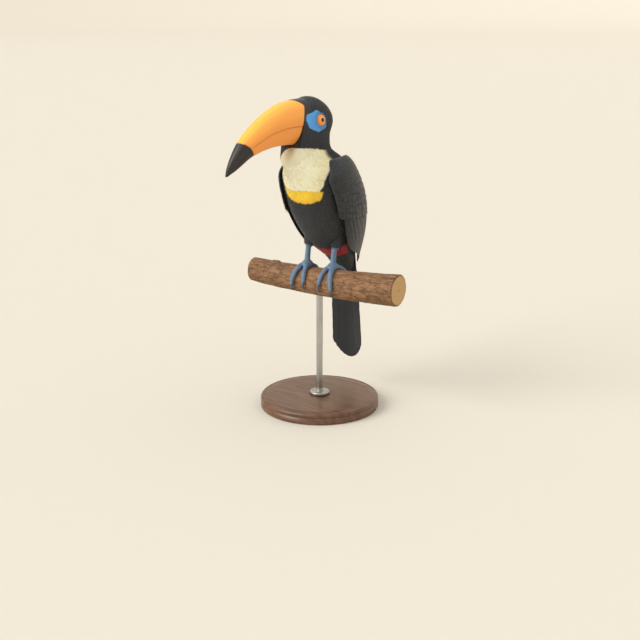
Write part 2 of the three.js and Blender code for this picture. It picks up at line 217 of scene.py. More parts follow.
@dataclass
class Shell:
    """A closed surface: points in millimetres, faces by point number, and named values of the points."""

    points: Array
    quads: Array
    threes: Array
    layers: dict[str, Array]

    def outward(self) -> "Shell":
        """The same shell with its faces pointing out, judged by the sign of the volume it encloses.

        Returns:
            The shell, with its faces turned round if they pointed in.
        """
        threes = np.concatenate([self.quads[:, [0, 1, 2]], self.quads[:, [0, 2, 3]], self.threes])
        a, b, c = np.moveaxis((self.points - self.points.mean(0))[threes], 1, 0)
        if (np.cross(a, b) * c).sum() < 0:
            return Shell(self.points, self.quads[:, ::-1], self.threes[:, ::-1], self.layers)
        return self


def joined(shells: Sequence[Shell]) -> Shell:
    """Several shells as one, with zeros where a shell lacks a layer that another has.

    Args:
        shells: The shells to join.

    Returns:
        One shell, with the points in the same order.
    """
    shapes = {name: layer.shape[1:] for shell in shells for name, layer in shell.layers.items()}
    starts = np.cumsum([0] + [len(shell.points) for shell in shells])
    layers = {
        name: np.concatenate(
            [shell.layers.get(name, np.zeros((len(shell.points), *shape))) for shell in shells]
        )
        for name, shape in shapes.items()
    }
    return Shell(
        np.concatenate([shell.points for shell in shells]),
        np.concatenate([shell.quads + start for shell, start in zip(shells, starts)]),
        np.concatenate([shell.threes + start for shell, start in zip(shells, starts)]),
        layers,
    )


def bands(rings: int, sides: int) -> tuple[Array, Array, Array]:
    """Numbers of points laid out ring by ring, and the faces between one ring and the next.

    Args:
        rings: Number of rings.
        sides: Points in a ring.

    Returns:
        The points' numbers by ring, the same shifted by one place round, and the faces.
    """
    number = np.arange(rings * sides).reshape(rings, sides)
    right = np.roll(number, -1, axis=1)
    return number, right, together(number[:-1], number[1:], right[1:], right[:-1]).reshape(-1, 4)


def closed_loft(grid: Array, layers: dict[str, Array] | None = None) -> Shell:
    """Rings of points joined into a tube that is closed round and at both ends.

    Args:
        grid: Points by ring and by place in the ring.
        layers: Values for each of those points.

    Returns:
        The shell. Each end closes on its ring's middle, which takes the mean of its ring's values.
    """
    rings, sides = grid.shape[:2]
    number, right, quads = bands(rings, sides)
    top = together(rings * sides, number[0], right[0])
    end = together(rings * sides + 1, right[-1], number[-1])

    def with_ends(values: Array) -> Array:
        """One row for each point, with the mean of the first and of the last ring added."""
        flat = values.reshape(rings * sides, *values.shape[2:])
        return np.concatenate([flat, values[0].mean(0)[None], values[-1].mean(0)[None]])

    carried = {
        name: with_ends(np.broadcast_to(v, (rings, sides, v.shape[-1]))) for name, v in (layers or {}).items()
    }
    return Shell(with_ends(grid), quads, np.concatenate([top, end]), carried).outward()


def blades(top: Array, under: Array, layers: dict[str, Array]) -> Shell:
    """Many thin closed blades of one make, such as feathers.

    Args:
        top: Points of the upper faces, by blade, row and column, with an odd number of columns.
        under: Points of the keels below the middle columns, by blade and row.
        layers: Values for the blades' points: for the upper face's columns with one more for the keel.

    Returns:
        One shell. Each row is a closed ring of the upper face's columns and the keel, and flat faces close
        the ends.
    """
    count, rows, columns = top.shape[:3]
    ring = columns + 1
    points = np.concatenate([top, under[:, :, None]], axis=2).reshape(-1, 3)
    number, _, around = bands(rows, ring)
    fan = np.array([[k, k + 1, k + 2, columns] for k in range(0, columns - 2, 2)])
    one = np.concatenate([around, number[0][fan], number[-1][fan][:, ::-1]])
    quads = (one[None] + (np.arange(count) * rows * ring)[:, None, None]).reshape(-1, 4)
    flat = {
        name: np.broadcast_to(v, (count, rows, ring, v.shape[-1])).reshape(-1, v.shape[-1])
        for name, v in layers.items()
    }
    return Shell(points, quads, np.zeros((0, 3), int), flat).outward()


def tube(path: Array, half_a: Array, half_b: Array, sides: int) -> Array:
    """Rings round a path: its point plus cos(angle) half_a along X and sin(angle) half_b over the path.

    Args:
        path: Points along the middle.
        half_a: Half widths in the direction that lies nearest to X.
        half_b: Half widths at right angles to that.
        sides: Points in a ring.

    Returns:
        Points by ring and by place in the ring.
    """
    way = unit(np.gradient(path, axis=0))
    over = unit(np.cross(way, (1.0, 0.0, 0.0)))
    beside = np.cross(over, way)
    angle = turns(sides)
    a = half_a[:, None, None] * np.cos(angle)[None, :, None] * beside[:, None]
    b = half_b[:, None, None] * np.sin(angle)[None, :, None] * over[:, None]
    return path[:, None] + a + b


def revolved(profile: Sequence[Pair], sides: int) -> Array:
    """Rings of points: a profile of radius and height turned about the upright axis through the origin."""
    line = np.array(profile, float)
    out, angle = line[:, 0, None], turns(sides)
    return together(out * np.cos(angle), out * np.sin(angle), line[:, 1, None])


def flat_numbers(values: Array) -> Array:
    """Values as the one row of short floats that a mesh takes."""
    return values.astype(np.float32).ravel()


def make_object(name: str, shell: Shell, material: Material) -> Piece:
    """A mesh object in metres at the origin, smooth shaded, with the shell's layers as attributes.

    Args:
        name: The object's name.
        shell: Its surface. A layer named as the bake map becomes that UV map.
        material: Its finish.

    Returns:
        The linked object.
    """
    mesh = bpy.data.meshes.new(name)
    loops = np.concatenate([shell.quads.ravel(), shell.threes.ravel()]).astype(np.int32)
    totals = np.concatenate([np.full(len(shell.quads), 4), np.full(len(shell.threes), 3)])
    mesh.vertices.add(len(shell.points))
    mesh.vertices.foreach_set("co", flat_numbers(shell.points * MM))
    mesh.loops.add(len(loops))
    mesh.loops.foreach_set("vertex_index", loops)
    mesh.polygons.add(len(totals))
    mesh.polygons.foreach_set("loop_start", (np.cumsum(totals) - totals).astype(np.int32))
    mesh.update(calc_edges=True)
    mesh.shade_smooth()
    for layer, values in shell.layers.items():
        if layer == BAKE_MAP:
            mesh.uv_layers.new(name=BAKE_MAP).data.foreach_set("uv", flat_numbers(values[loops]))
        else:
            add_layer(mesh, layer, values)
    if "vane" in shell.layers:
        mark_rims(mesh, shell.layers["vane"])
    mesh.materials.append(material)
    piece = bpy.data.objects.new(name, mesh)
    bpy.context.scene.collection.objects.link(piece)
    return piece


def add_layer(mesh: bpy.types.Mesh, name: str, values: Array) -> None:
    """Gives a mesh's points an attribute: 4 values are a colour, 3 a vector and 1 a number.

    Args:
        mesh: The mesh to give it to.
        name: The attribute's name.
        values: One row of values for each point.
    """
    kind, field_name = LAYER_KINDS[values.shape[1]]
    mesh.attributes.new(name, kind, "POINT").data.foreach_set(field_name, flat_numbers(values))


def apply_modifiers(piece: Piece) -> None:
    """Puts what a piece's modifiers do into its mesh, and removes them.

    Args:
        piece: The piece, which keeps its name and materials.
    """
    graph = bpy.context.evaluated_depsgraph_get()
    mesh = bpy.data.meshes.new_from_object(piece.evaluated_get(graph))
    piece.modifiers.clear()
    piece.data = mesh


def mark_rims(mesh: bpy.types.Mesh, vane: Array) -> None:
    """Marks the feathers' side edges and tips as sharp, so that their faces shade as smooth vanes.

    Args:
        mesh: The mesh, with its edges made.
        vane: Place along and place across for each point.
    """
    ends = np.empty(len(mesh.edges) * 2, np.int32)
    mesh.edges.foreach_get("vertices", ends)
    along, across = vane[ends.reshape(-1, 2)][..., 0], vane[ends.reshape(-1, 2)][..., 1]
    rim = (np.abs(across) > 0.999).all(1) | (along > 0.999).all(1)
    mesh.attributes.new("sharp_edge", "BOOLEAN", "EDGE").data.foreach_set("value", rim)


def declare(piece: Piece, slot: str, *nodes: str) -> Piece:
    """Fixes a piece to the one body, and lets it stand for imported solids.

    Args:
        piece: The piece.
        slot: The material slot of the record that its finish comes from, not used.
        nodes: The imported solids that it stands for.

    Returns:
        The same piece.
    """
    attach(piece, "root")
    if nodes:
        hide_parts(*nodes)
    piece.data.calc_loop_triangles()
    LOG.info("%s: %d triangles", piece.name, len(piece.data.loop_triangles))
    return piece


def make_piece(name: str, shell: Shell, material: Material, slot: str, *nodes: str) -> Piece:
    """A shell made an object and declared, in one step."""
    return declare(make_object(name, shell, material), slot, *nodes)


def node_box(node: str) -> tuple[Array, Array]:
    """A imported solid's lowest and highest corners, in millimetres."""
    low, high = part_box(node)
    return np.array(low) / MM, np.array(high) / MM


# ------------------------------------------------------------------ node graphs


class Graph:
    """A material's node graph, built by calls that each return an output socket."""

    def __init__(self, name: str) -> None:
        """Starts an empty material of that name.

        Args:
            name: The material's name.
        """
        self.material = bpy.data.materials.new(name)
        self.material.use_nodes = True
        self.tree = self.material.node_tree
        self.tree.nodes.clear()

    def node(self, kind: str, inputs: dict | None = None, **settings: object) -> bpy.types.Node:
        """Adds a node.

        Args:
            kind: The node's type, without its ShaderNode prefix.
            inputs: Values or sockets for its inputs, by name or number.
            settings: Properties of the node itself.

        Returns:
            The node.
        """
        made = self.tree.nodes.new("ShaderNode" + kind)
        for key, value in settings.items():
            setattr(made, key, value)
        for key, value in (inputs or {}).items():
            if isinstance(value, Socket):
                self.tree.links.new(value, made.inputs[key])
            else:
                made.inputs[key].default_value = value
        return made

    def attribute(self, name: str, output: str = "Fac") -> Socket:
        """An attribute carried by the piece."""
        return self.node("Attribute", attribute_name=name).outputs[output]

    def parts(self, name: str) -> tuple[Socket, ...]:
        """The three numbers of a vector attribute."""
        split = self.node("SeparateXYZ", {0: self.attribute(name, "Vector")})
        return tuple(split.outputs)

    def place(self, scale: Sequence[float] = (1.0, 1.0, 1.0)) -> Socket:
        """The piece's own coordinates, in metres, stretched by a scale for each axis."""
        where = self.node("TexCoord").outputs["Object"]
        return self.node("Mapping", {"Vector": where, "Scale": tuple(scale)}).outputs[0]

    def noise(self, scale: float, detail: float, vector: Socket | None = None) -> Socket:
        """Cloudy noise, from 0 to 1. Scale is in lumps to the metre."""
        inputs = {"Vector": vector or self.place(), "Scale": scale, "Detail": detail, "Roughness": 0.55}
        return self.node("TexNoise", inputs).outputs["Fac"]

    def wander(self, scale: float, reach: float) -> Socket:
        """A cloudy vector, about reach long, that bends a pattern."""
        cloud = self.node("TexNoise", {"Vector": self.place(), "Scale": scale, "Detail": 3.0})
        inputs = {0: cloud.outputs["Color"], "Scale": reach}
        return self.node("VectorMath", inputs, operation="SCALE").outputs[0]

    def cells(self, scale: float, vector: Socket | None = None) -> Socket:
        """Distance to the nearest border between cells."""
        inputs = {"Vector": vector or self.place(), "Scale": scale}
        return self.node("TexVoronoi", inputs, feature="DISTANCE_TO_EDGE").outputs["Distance"]

    def math(self, operation: str, a: object, b: object = 0.0, c: object = 0.0) -> Socket:
        """One step of arithmetic."""
        return self.node("Math", {0: a, 1: b, 2: c}, operation=operation).outputs[0]

    def times(self, a: object, b: object) -> Socket:
        """Two numbers multiplied."""
        return self.math("MULTIPLY", a, b)

    def line(self, value: object, slope: object, start: object) -> Socket:
        """A value times a slope, plus a start."""
        return self.math("MULTIPLY_ADD", value, slope, start)

    def remap(
        self, value: Socket, low: float, high: float, to_low: float = 0.0, to_high: float = 1.0
    ) -> Socket:
        """A value stretched from one range to another and held inside it."""
        inputs = {"Value": value, "From Min": low, "From Max": high, "To Min": to_low, "To Max": to_high}
        return self.node("MapRange", inputs, interpolation_type="SMOOTHSTEP").outputs[0]

    def mix(self, share: object, a: object, b: object, blend: str = "MIX") -> Socket:
        """Two colours mixed by a share. Each is a socket, a number written as 0xRRGGBB or an array."""
        inputs = {0: share, 6: socket_colour(a), 7: socket_colour(b)}
        return self.node("Mix", inputs, data_type="RGBA", blend_type=blend).outputs[2]

    def stain(
        self, a: object, b: object, pattern: Socket, low: float, high: float, share: float = 1.0
    ) -> Socket:
        """Colour a going over to b, up to a share of it, as a pattern goes from low to high."""
        return self.mix(self.remap(pattern, low, high, 0.0, share), a, b)

    def bump(self, height: Socket, distance: float, strength: float) -> Socket:
        """A normal tilted by a height map. Distance is the height of 1, in metres."""
        inputs = {"Height": height, "Distance": distance, "Strength": strength}
        return self.node("Bump", inputs).outputs[0]


class Finish:
    """A finish. Each kind says in look what its surface takes."""

    def look(self, g: Graph) -> dict[str, object]:
        """The surface's inputs, by name, with the nodes that feed them made in the graph."""
        raise NotImplementedError

    def build(self, name: str) -> Material:
        """Makes a material from the finish's look, on one principled surface.

        Args:
            name: The material's name.

        Returns:
            The material.
        """
        graph = Graph(name)
        shader = graph.node("BsdfPrincipled", self.look(graph))
        graph.node("OutputMaterial", {"Surface": shader.outputs[0]})
        return graph.material


@dataclass(frozen=True)
class PlumageFinish(Finish):
    """Feathers: the coat's marking tinted feather by feather, with barbs that run out from the shaft and
    painted shade towards each root.
    """

    barbs: float = 26.0  # barbs along one feather
    slant: float = 0.55  # how far a barb climbs over the vane's half width, as a share of the length
    relief: float = 0.00012
    roughness: float = 0.5
    sheen: float = 0.15
    glow: float = 0.25  # light that passes through the thin vanes
    spread: float = 0.12  # how much one feather differs from the next
    shaft: float = 0.05  # half width of the shaft's line, as a share of the vane's half width
    rim: float = 1.0  # tone of the vane's very edge
    quill: float = 1.0  # tone of the shaft

    def look(self, g: Graph) -> dict[str, object]:
        """Nodes for the vanes. The attribute vane holds the places along and across and a chance number.

        Args:
            g: The material's graph.

        Returns:
            The surface's inputs, by name.
        """
        along, across, chance = g.parts("vane")
        out = g.math("ABSOLUTE", across)
        climb = g.line(out, -self.slant, along)
        ragged = g.noise(420.0, 2.0)
        phase = g.line(ragged, 0.06, climb)
        barb = g.math("SINE", g.times(phase, self.barbs * FULL_TURN))
        shaft = g.remap(out, self.shaft, self.shaft * 3.0, 1.0, 0.0)
        tone = g.remap(chance, 0.0, 1.0, 1.0 - self.spread, 1.0 + self.spread)
        # painted shade: each vane is darker towards its root, where the feathers above overlap it
        root = g.remap(along, 0.0, 0.6, 0.92, 1.0)
        cloud = g.remap(g.noise(38.0, 3.0), 0.3, 0.7, 0.95, 1.07)
        rim = g.remap(out, 0.72, 0.98, 1.0, self.rim)
        lit = g.times(g.times(tone, root), g.line(barb, 0.05, cloud))
        quill = g.remap(out, self.shaft * 0.6, self.shaft * 1.4, self.quill, 1.0)
        lit = g.times(lit, g.times(rim, quill))
        grey = g.node("CombineColor", {0: lit, 1: lit, 2: lit}).outputs[0]
        colour = g.mix(1.0, g.attribute("tint", "Color"), grey, "MULTIPLY")
        height = g.line(shaft, 1.4, barb)
        return {
            "Base Color": colour,
            "Roughness": g.line(ragged, 0.2, self.roughness - 0.1),
            "Specular IOR Level": 0.35,
            "Subsurface Weight": self.glow,
            "Subsurface Radius": (0.0012, 0.0011, 0.0009),
            "Sheen Weight": self.sheen,
            "Sheen Roughness": 0.4,
            "Normal": g.bump(height, self.relief, 0.5),
        }


@dataclass(frozen=True)
class SkinFinish(Finish):
    """Skin: dark down under the feathers, wrinkled bare skin round the eyes, and scaly skin on the legs, with
    painted shade in the folds and creases.
    """

    eye_skin: int = 0x5AA5E4
    eye_skin_deep: int = 0x3A84CC
    fold_shade: int = 0x2A68A8  # painted shade in the folds round the eye
    leg: int = 0x66809C
    leg_dark: int = 0x36475A

    def look(self, g: Graph) -> dict[str, object]:
        """Nodes for the skin. The attribute kind holds the shares of bare and leg skin and the painted shade
        of the scales' creases and of the folds round the eyes.

        Args:
            g: The material's graph.

        Returns:
            The surface's inputs, by name.
        """
        bare, leg, shade = g.parts("kind")
        grain = g.noise(900.0, 4.0)
        pebbles = g.cells(1150.0)
        folds = g.noise(620.0, 4.0, g.place((1.0, 1.0, 2.2)))
        blue = g.stain(self.eye_skin_deep, self.eye_skin, folds, 0.3, 0.62)
        # painted shade: deeper blue in the grooves round the eye and along the lid's edge
        blue = g.mix(g.remap(shade, 0.0, 1.0, 0.9, 0.0), blue, self.fold_shade)
        mottle = g.remap(g.noise(160.0, 4.0), 0.3, 0.7)
        slate = g.mix(mottle, linear(self.leg) * 0.82, linear(self.leg) * 1.08)
        # painted shade: darker slate in the creases between the scales and the pebbles
        slate = g.mix(g.remap(shade, 0.0, 1.0, 0.9, 0.0), slate, self.leg_dark)
        colour = g.mix(bare, g.attribute("tint", "Color"), blue)
        colour = g.mix(leg, colour, slate)
        height = g.line(g.remap(pebbles, 0.0, 0.25), 0.7, g.math("ADD", grain, folds))
        naked = g.math("MAXIMUM", bare, leg)
        return {
            "Base Color": colour,
            "Roughness": g.line(grain, 0.25, 0.38),
            "Specular IOR Level": 0.4,
            "Normal": g.bump(g.times(height, naked), 0.00022, 0.6),
        }


@dataclass(frozen=True)
class BillFinish(Finish):
    """Horn: orange, yellower on the ridge and deeper down the sides, partly the horn's own tones and partly
    painted light that is lighter on top and darker low; a black tip, and a thin black line round the root.
    """

    # ridge, side and the deep orange: partly the horn's own tones, partly painted light, lighter on top and
    # darker low
    ridge: int = 0xFFB23C
    side: int = 0xFBA94C
    deep: int = 0xF29A45
    black: int = 0x24211F
    root_line: float = 1.7  # width of the black line round the root, in millimetres
    saddle: float = 3.6  # how much deeper that line reaches on the ridge

    def look(self, g: Graph) -> dict[str, object]:
        """Nodes for the horn, by the attributes horn and run.

        Horn holds the rise from cutting edge to ridge, the millimetres past the black tip's border and the
        millimetres out of the plumage. Run holds the place along the bill.

        Args:
            g: The material's graph.

        Returns:
            The surface's inputs, by name.
        """
        rise, tip, rear = g.parts("horn")
        run = g.attribute("run")
        streak_place = g.node("CombineXYZ", {0: g.times(run, 5.0), 1: g.times(rise, 26.0)}).outputs[0]
        streak = g.noise(1.0, 4.0, streak_place)
        cloud = g.noise(42.0, 3.0)
        # partly painted light: by the rise, the orange goes from deep low on the sides to yellow on the
        # ridge, as if lit from above
        up = g.line(cloud, 0.22, g.math("SUBTRACT", rise, 0.11))
        orange = g.stain(self.deep, self.side, up, 0.05, 0.5)
        orange = g.stain(orange, self.ridge, up, 0.66, 0.92)
        orange = g.stain(orange, self.deep, streak, 0.42, 0.72, 0.3)
        worn = g.line(g.noise(160.0, 3.0), 2.2, g.math("SUBTRACT", tip, 1.1))
        tipped = g.remap(worn, -0.35, 0.35)
        fringe = g.remap(worn, -3.0, 0.0, 0.0, 0.4)
        past = g.math("SUBTRACT", rear, g.remap(rise, 0.72, 1.0, 0.0, self.saddle))
        lined = g.remap(past, self.root_line - 0.25, self.root_line + 0.25, 1.0, 0.0)
        colour = g.mix(fringe, orange, 0xA8481C)
        colour = g.mix(g.math("MAXIMUM", tipped, lined), colour, self.black)
        finer = g.node("Mapping", {"Vector": streak_place, "Scale": (3.0, 5.0, 1.0)}).outputs[0]
        scratches = g.noise(1.0, 3.0, finer)
        return {
            "Base Color": colour,
            "Roughness": g.line(scratches, 0.22, 0.27),
            "Specular IOR Level": 0.45,
            "Subsurface Weight": 0.06,
            "Subsurface Radius": (0.004, 0.0015, 0.0006),
            "Coat Weight": 0.12,
            "Coat Roughness": 0.25,
            "Normal": g.bump(g.math("ADD", scratches, g.times(streak, 0.6)), 0.00018, 0.5),
        }


@dataclass(frozen=True)
class EyeFinish(Finish):
    """A wet eye: black pupil, orange iris with fine fibres, and a dark rim where the iris ends."""

    iris: int = 0xF08A2C
    inner: int = 0xFFB054
    pupil: float = 3.1  # radius in millimetres
    iris_end: float = 9.3

    def look(self, g: Graph) -> dict[str, object]:
        """Nodes for the eye. The attribute disc holds the distance from its axis and the way round it.

        Args:
            g: The material's graph.

        Returns:
            The surface's inputs, by name.
        """
        out, cosine, sine = g.parts("disc")
        ray = g.node("CombineXYZ", {0: g.times(cosine, 9.0), 1: g.times(sine, 9.0), 2: g.times(out, 0.5)})
        fibre = g.noise(1.0, 4.0, ray.outputs[0])
        tone = g.remap(out, self.pupil, self.iris_end, 1.0, 0.0)
        colour = g.mix(tone, self.iris, self.inner)
        colour = g.stain(colour, 0xB5501A, fibre, 0.4, 0.7, 0.55)
        colour = g.stain(colour, 0x2A1610, out, self.iris_end - 0.9, self.iris_end)
        edge = g.line(fibre, 0.3, g.math("SUBTRACT", out, 0.15))
        colour = g.mix(g.remap(edge, self.pupil - 0.15, self.pupil + 0.2, 1.0, 0.0), colour, 0x050505)
        return {
            "Base Color": colour,
            "Roughness": 0.2,
            "Specular IOR Level": 0.25,
            "Coat Weight": 0.5,
            "Coat Roughness": 0.02,
        }


@dataclass(frozen=True)
class ClawFinish(Finish):
    """Dark slate horn with faint growth lines."""

    root: int = 0x4A5767
    tip: int = 0x20262E

    def look(self, g: Graph) -> dict[str, object]:
        """Nodes for the claw. The attribute run holds the place along it.

        Args:
            g: The material's graph.

        Returns:
            The surface's inputs, by name.
        """
        run = g.attribute("run")
        colour = g.stain(self.root, self.tip, run, 0.1, 0.8)
        lines = g.math("SINE", g.times(g.line(g.noise(500.0, 2.0), 0.08, run), 90.0))
        grain = g.noise(1400.0, 3.0)
        return {
            "Base Color": g.stain(colour, 0x6D7A8A, grain, 0.35, 0.7, 0.25),
            "Roughness": g.line(grain, 0.2, 0.25),
            "Normal": g.bump(g.line(lines, 0.3, grain), 0.00008, 0.5),
        }


@dataclass(frozen=True)
class BranchFinish(Finish):
    """Brown bark with dark fissures, darker with the grooves' depth partly as painted shade, and pale sawn
    ends with growth rings.
    """

    bark: int = 0x7C5A40
    bark_light: int = 0x977252
    fissure_and_shade: int = 0x452F21
    lichen: int = 0xA08A6C
    wood: int = 0xC9A677
    ring: int = 0xA37C4E

    def look(self, g: Graph) -> dict[str, object]:
        """Nodes for bark and wood.

        The attribute cut holds the share of sawn wood, the millimetres from the pith and the bark's depth,
        which darkens the bark partly as painted shade.

        Args:
            g: The material's graph.

        Returns:
            The surface's inputs, by name.
        """
        sawn, out, depth = g.parts("cut")
        along = g.place((0.35, 1.0, 1.0))
        grain = g.noise(260.0, 5.0, along)
        patch = g.noise(46.0, 4.0)
        bark = g.stain(self.bark, self.bark_light, grain, 0.32, 0.68)
        bark = g.stain(bark, 0x74523A, patch, 0.35, 0.7, 0.35)
        # partly painted shade: the bark darkens towards the fissure colour with the depth of its grooves
        bark = g.stain(bark, self.fissure_and_shade, depth, 0.1, 1.0, 0.7)
        bent = g.node("VectorMath", {0: along, 1: g.wander(70.0, 0.012)}, operation="ADD").outputs[0]
        crack = g.remap(g.cells(120.0, bent), 0.0, 0.09, 1.0, 0.0)
        fine = g.noise(1500.0, 4.0)
        bark = g.mix(g.times(crack, 0.6), bark, self.fissure_and_shade)
        bark = g.stain(bark, self.lichen, fine, 0.5, 0.75, 0.5)
        wobble = g.line(g.noise(90.0, 3.0), 1.6, out)
        rings = g.math("SINE", g.times(wobble, 3.4))
        wood = g.stain(self.wood, self.ring, rings, -0.2, 1.0, 0.75)
        wood = g.mix(g.remap(out, 0.6, 2.4, 0.8, 0.0), wood, 0x5E4128)
        wood = g.stain(wood, 0x8F6B43, g.noise(700.0, 3.0), 0.45, 0.75, 0.35)
        rough = g.line(crack, -0.7, g.line(fine, 0.35, grain))
        height = g.mix(sawn, rough, g.times(rings, 0.12))
        return {
            "Base Color": g.mix(sawn, bark, wood),
            "Roughness": g.line(grain, 0.2, 0.68),
            "Specular IOR Level": 0.25,
            "Normal": g.bump(height, 0.0009, 0.6),
        }


@dataclass(frozen=True)
class WalnutFinish(Finish):
    """Oiled dark hardwood, cut from a plank whose grain runs along X."""

    light: int = 0x6E4A33
    dark: int = 0x51331F

    def look(self, g: Graph) -> dict[str, object]:
        """Nodes for the wood: its figure bends with slow noise, and fine pores run along it.

        Args:
            g: The material's graph.

        Returns:
            The surface's inputs, by name.
        """
        drift = g.noise(16.0, 3.0, g.place((0.16, 1.0, 1.0)))
        across = g.node("SeparateXYZ", {0: g.node("TexCoord").outputs["Object"]}).outputs[1]
        figure = g.math("SINE", g.line(drift, 46.0, g.times(across, 420.0)))
        pores = g.noise(900.0, 4.0, g.place((0.06, 1.0, 1.0)))
        colour = g.mix(g.remap(figure, -1.0, 1.0, 0.2, 0.8), self.dark, self.light)
        colour = g.stain(colour, 0x2A1A10, pores, 0.5, 0.7, 0.6)
        return {
            "Base Color": colour,
            "Roughness": g.line(pores, 0.25, 0.28),
            "Coat Weight": 0.2,
            "Coat Roughness": 0.2,
            "Normal": g.bump(pores, 0.0001, 0.4),
        }


@dataclass(frozen=True)
class SteelFinish(Finish):
    """Satin steel with brushing that runs round the rod and the flange."""

    tone: int = 0xB9B9B6

    def look(self, g: Graph) -> dict[str, object]:
        """Nodes for the steel: brushing is noise stretched round the rod.

        Args:
            g: The material's graph.

        Returns:
            The surface's inputs, by name.
        """
        brushed = g.noise(1500.0, 3.0, g.place((0.12, 0.12, 1.6)))
        smudge = g.noise(60.0, 3.0)
        colour = g.stain(self.tone, 0x8E8E8C, smudge, 0.3, 0.7, 0.3)
        return {
            "Base Color": colour,
            "Metallic": 1.0,
            "Roughness": g.line(brushed, 0.25, 0.2),
            "Normal": g.bump(brushed, 0.00004, 0.4),
        }


@dataclass(frozen=True)
class FloorFinish(Finish):
    """Plain pale studio floor."""

    tone: int = 0xF3ECDE
    share: float = 0.72  # of that tone, as the floor also takes the lamp's light

    def look(self, g: Graph) -> dict[str, object]:
        """One even tone, set on the surface's own inputs without nodes.

        Args:
            g: The material's graph, not used.

        Returns:
            The surface's inputs, by name.
        """
        colour = linear(self.tone) * self.share
        colour[3] = 1.0
        return {"Base Color": tuple(colour), "Roughness": 0.9, "Specular IOR Level": 0.1}


# ------------------------------------------------------------------ the body's form and markings


class BodyForm:
    """The plumage's outer form, the loft that all of the coat lies on."""

    SECTION_POWER = 2.2  # superellipse power of the ribs, 2 is a plain ellipse
    HEAD_TURN = math.radians(-17.0)  # the head looks a little to the bird's right
    TURN_AXIS_Y = -10.0  # the vertical line that the head turns about
    TURN_WHOLE = 4.5  # ribs up to this one turn with the head
    TURN_NONE = 9.0  # ribs from this one on don't turn
    # Each rib's back end and front end in the middle plane, as y and height over the perch, and half width.
    RIBS = np.array(
        [
            (-41, 284.5, -58, 219, 20.5),  # bill's base
            (-32, 287.5, -63, 212, 24.5),
            (-19.5, 287, -67, 206.5, 27),  # brow
            (-6, 282, -69.5, 201.5, 28.5),
            (7.5, 272, -71, 197, 29.3),
            (15, 256.5, -71, 192, 30.5),  # nape
            (8.5, 236, -70, 186, 29.5),
            (9, 213, -67.5, 177, 33.5),  # collar
            (31, 195, -62.5, 162, 46.5),
            (53, 165, -53.5, 137, 50),  # breast
            (68.5, 132, -40, 107, 48.5),
            (77, 101, -20, 77, 42.5),  # belly
            (81.5, 74, 6, 52, 33.5),
            (84.5, 50, 34, 33, 25),  # vent
            (85.5, 27, 56, 12, 19.5),
            (87, 6, 71, -6, 14),  # end of the trunk
            (87, -18, 79.5, -25, 12.5),  # the long coverts lie on along the tail
            (87.5, -42, 82.5, -47, 10),
        ],
        float,
    )
    END = 15.0  # the trunk's last rib
    # Depth of the coat between skin and outer form, by rib.
    DEPTH_RIBS = (0.0, 0.5, 1.0, 2.0, 4.0, 6.0, 8.0, 11.0, 14.0, 15.0)
    DEPTHS = (0.3, 0.4, 0.7, 1.0, 1.5, 2.4, 3.4, 3.8, 3.0, 2.0)

    def __init__(self) -> None:
        """Reads how high the perch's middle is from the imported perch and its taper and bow."""
        self.perch_height = Perch.middle_height()

    def turned(self, points: Array, angle: Array) -> Array:
        """Points turned about the vertical line that the head turns about.

        Args:
            points: Points in millimetres.
            angle: How far each is turned, in radians.

        Returns:
            The turned points.
        """
        y = points[..., 1] - self.TURN_AXIS_Y
        c, s = np.cos(angle), np.sin(angle)
        x = points[..., 0] * c - y * s
        return together(x, points[..., 0] * s + y * c + self.TURN_AXIS_Y, points[..., 2])

    def head_turned(self, points: Array) -> Array:
        """Points of the unturned head, such as the bill's, turned with the head."""
        return self.turned(points, self.HEAD_TURN)

    def straight(self, rib: Array, angle: Array, grow: Array = 0.0) -> Array:
        """A point of the form before the head turns.

        A rib is a superellipse about the line from its back end to its front end: x is half times sin(angle)
        to the power 2/2.2, and the place along that line goes by cos(angle) to the same power.

        Args:
            rib: Rib numbers, from 0 to 15 on the trunk and on to 17 over the tail.
            angle: Angles round the body from the breast, in radians.
            grow: How far the rib is widened all round, in millimetres.

        Returns:
            Points in millimetres.
        """
        rib, angle, grow = np.broadcast_arrays(rib, angle, grow)
        ends = spline(self.RIBS, rib)
        back, front = ends[..., 0:2], ends[..., 2:4]
        depth = np.linalg.norm(back - front, axis=-1) / 2
        power = 2.0 / self.SECTION_POWER
        along = -signed_power(np.cos(angle), power) * (depth + grow) / depth
        at = (back + front) / 2 + along[..., None] * (back - front) / 2
        x = (ends[..., 4] + grow) * signed_power(np.sin(angle), power)
        return together(x, at[..., 0], at[..., 1] + self.perch_height)

    def point(self, rib: Array, angle: Array, grow: Array = 0.0) -> Array:
        """A point of the form, with the head's turn fading out down the neck."""
        turn = self.HEAD_TURN * (1.0 - ramp(rib, self.TURN_WHOLE, self.TURN_NONE))
        return self.turned(self.straight(rib, angle, grow), turn)

    def surface(self, rib: Array, angle: Array) -> tuple[Array, Array]:
        """Points of the form and its outward normals, by differences along the ribs and round them.

        Args:
            rib: Rib numbers.
            angle: Angles round the body from the breast.

        Returns:
            Points and normals.
        """
        step = 2e-3
        low, high = np.clip(rib - step, 0, len(self.RIBS) - 1), np.clip(rib + step, 0, len(self.RIBS) - 1)
        down = self.point(high, angle) - self.point(low, angle)
        around = self.point(rib, angle + step) - self.point(rib, angle - step)
        return self.point(rib, angle), unit(np.cross(down, around))

    def depth(self, rib: Array) -> Array:
        """Depth of the coat at a rib."""
        return np.interp(rib, self.DEPTH_RIBS, self.DEPTHS)


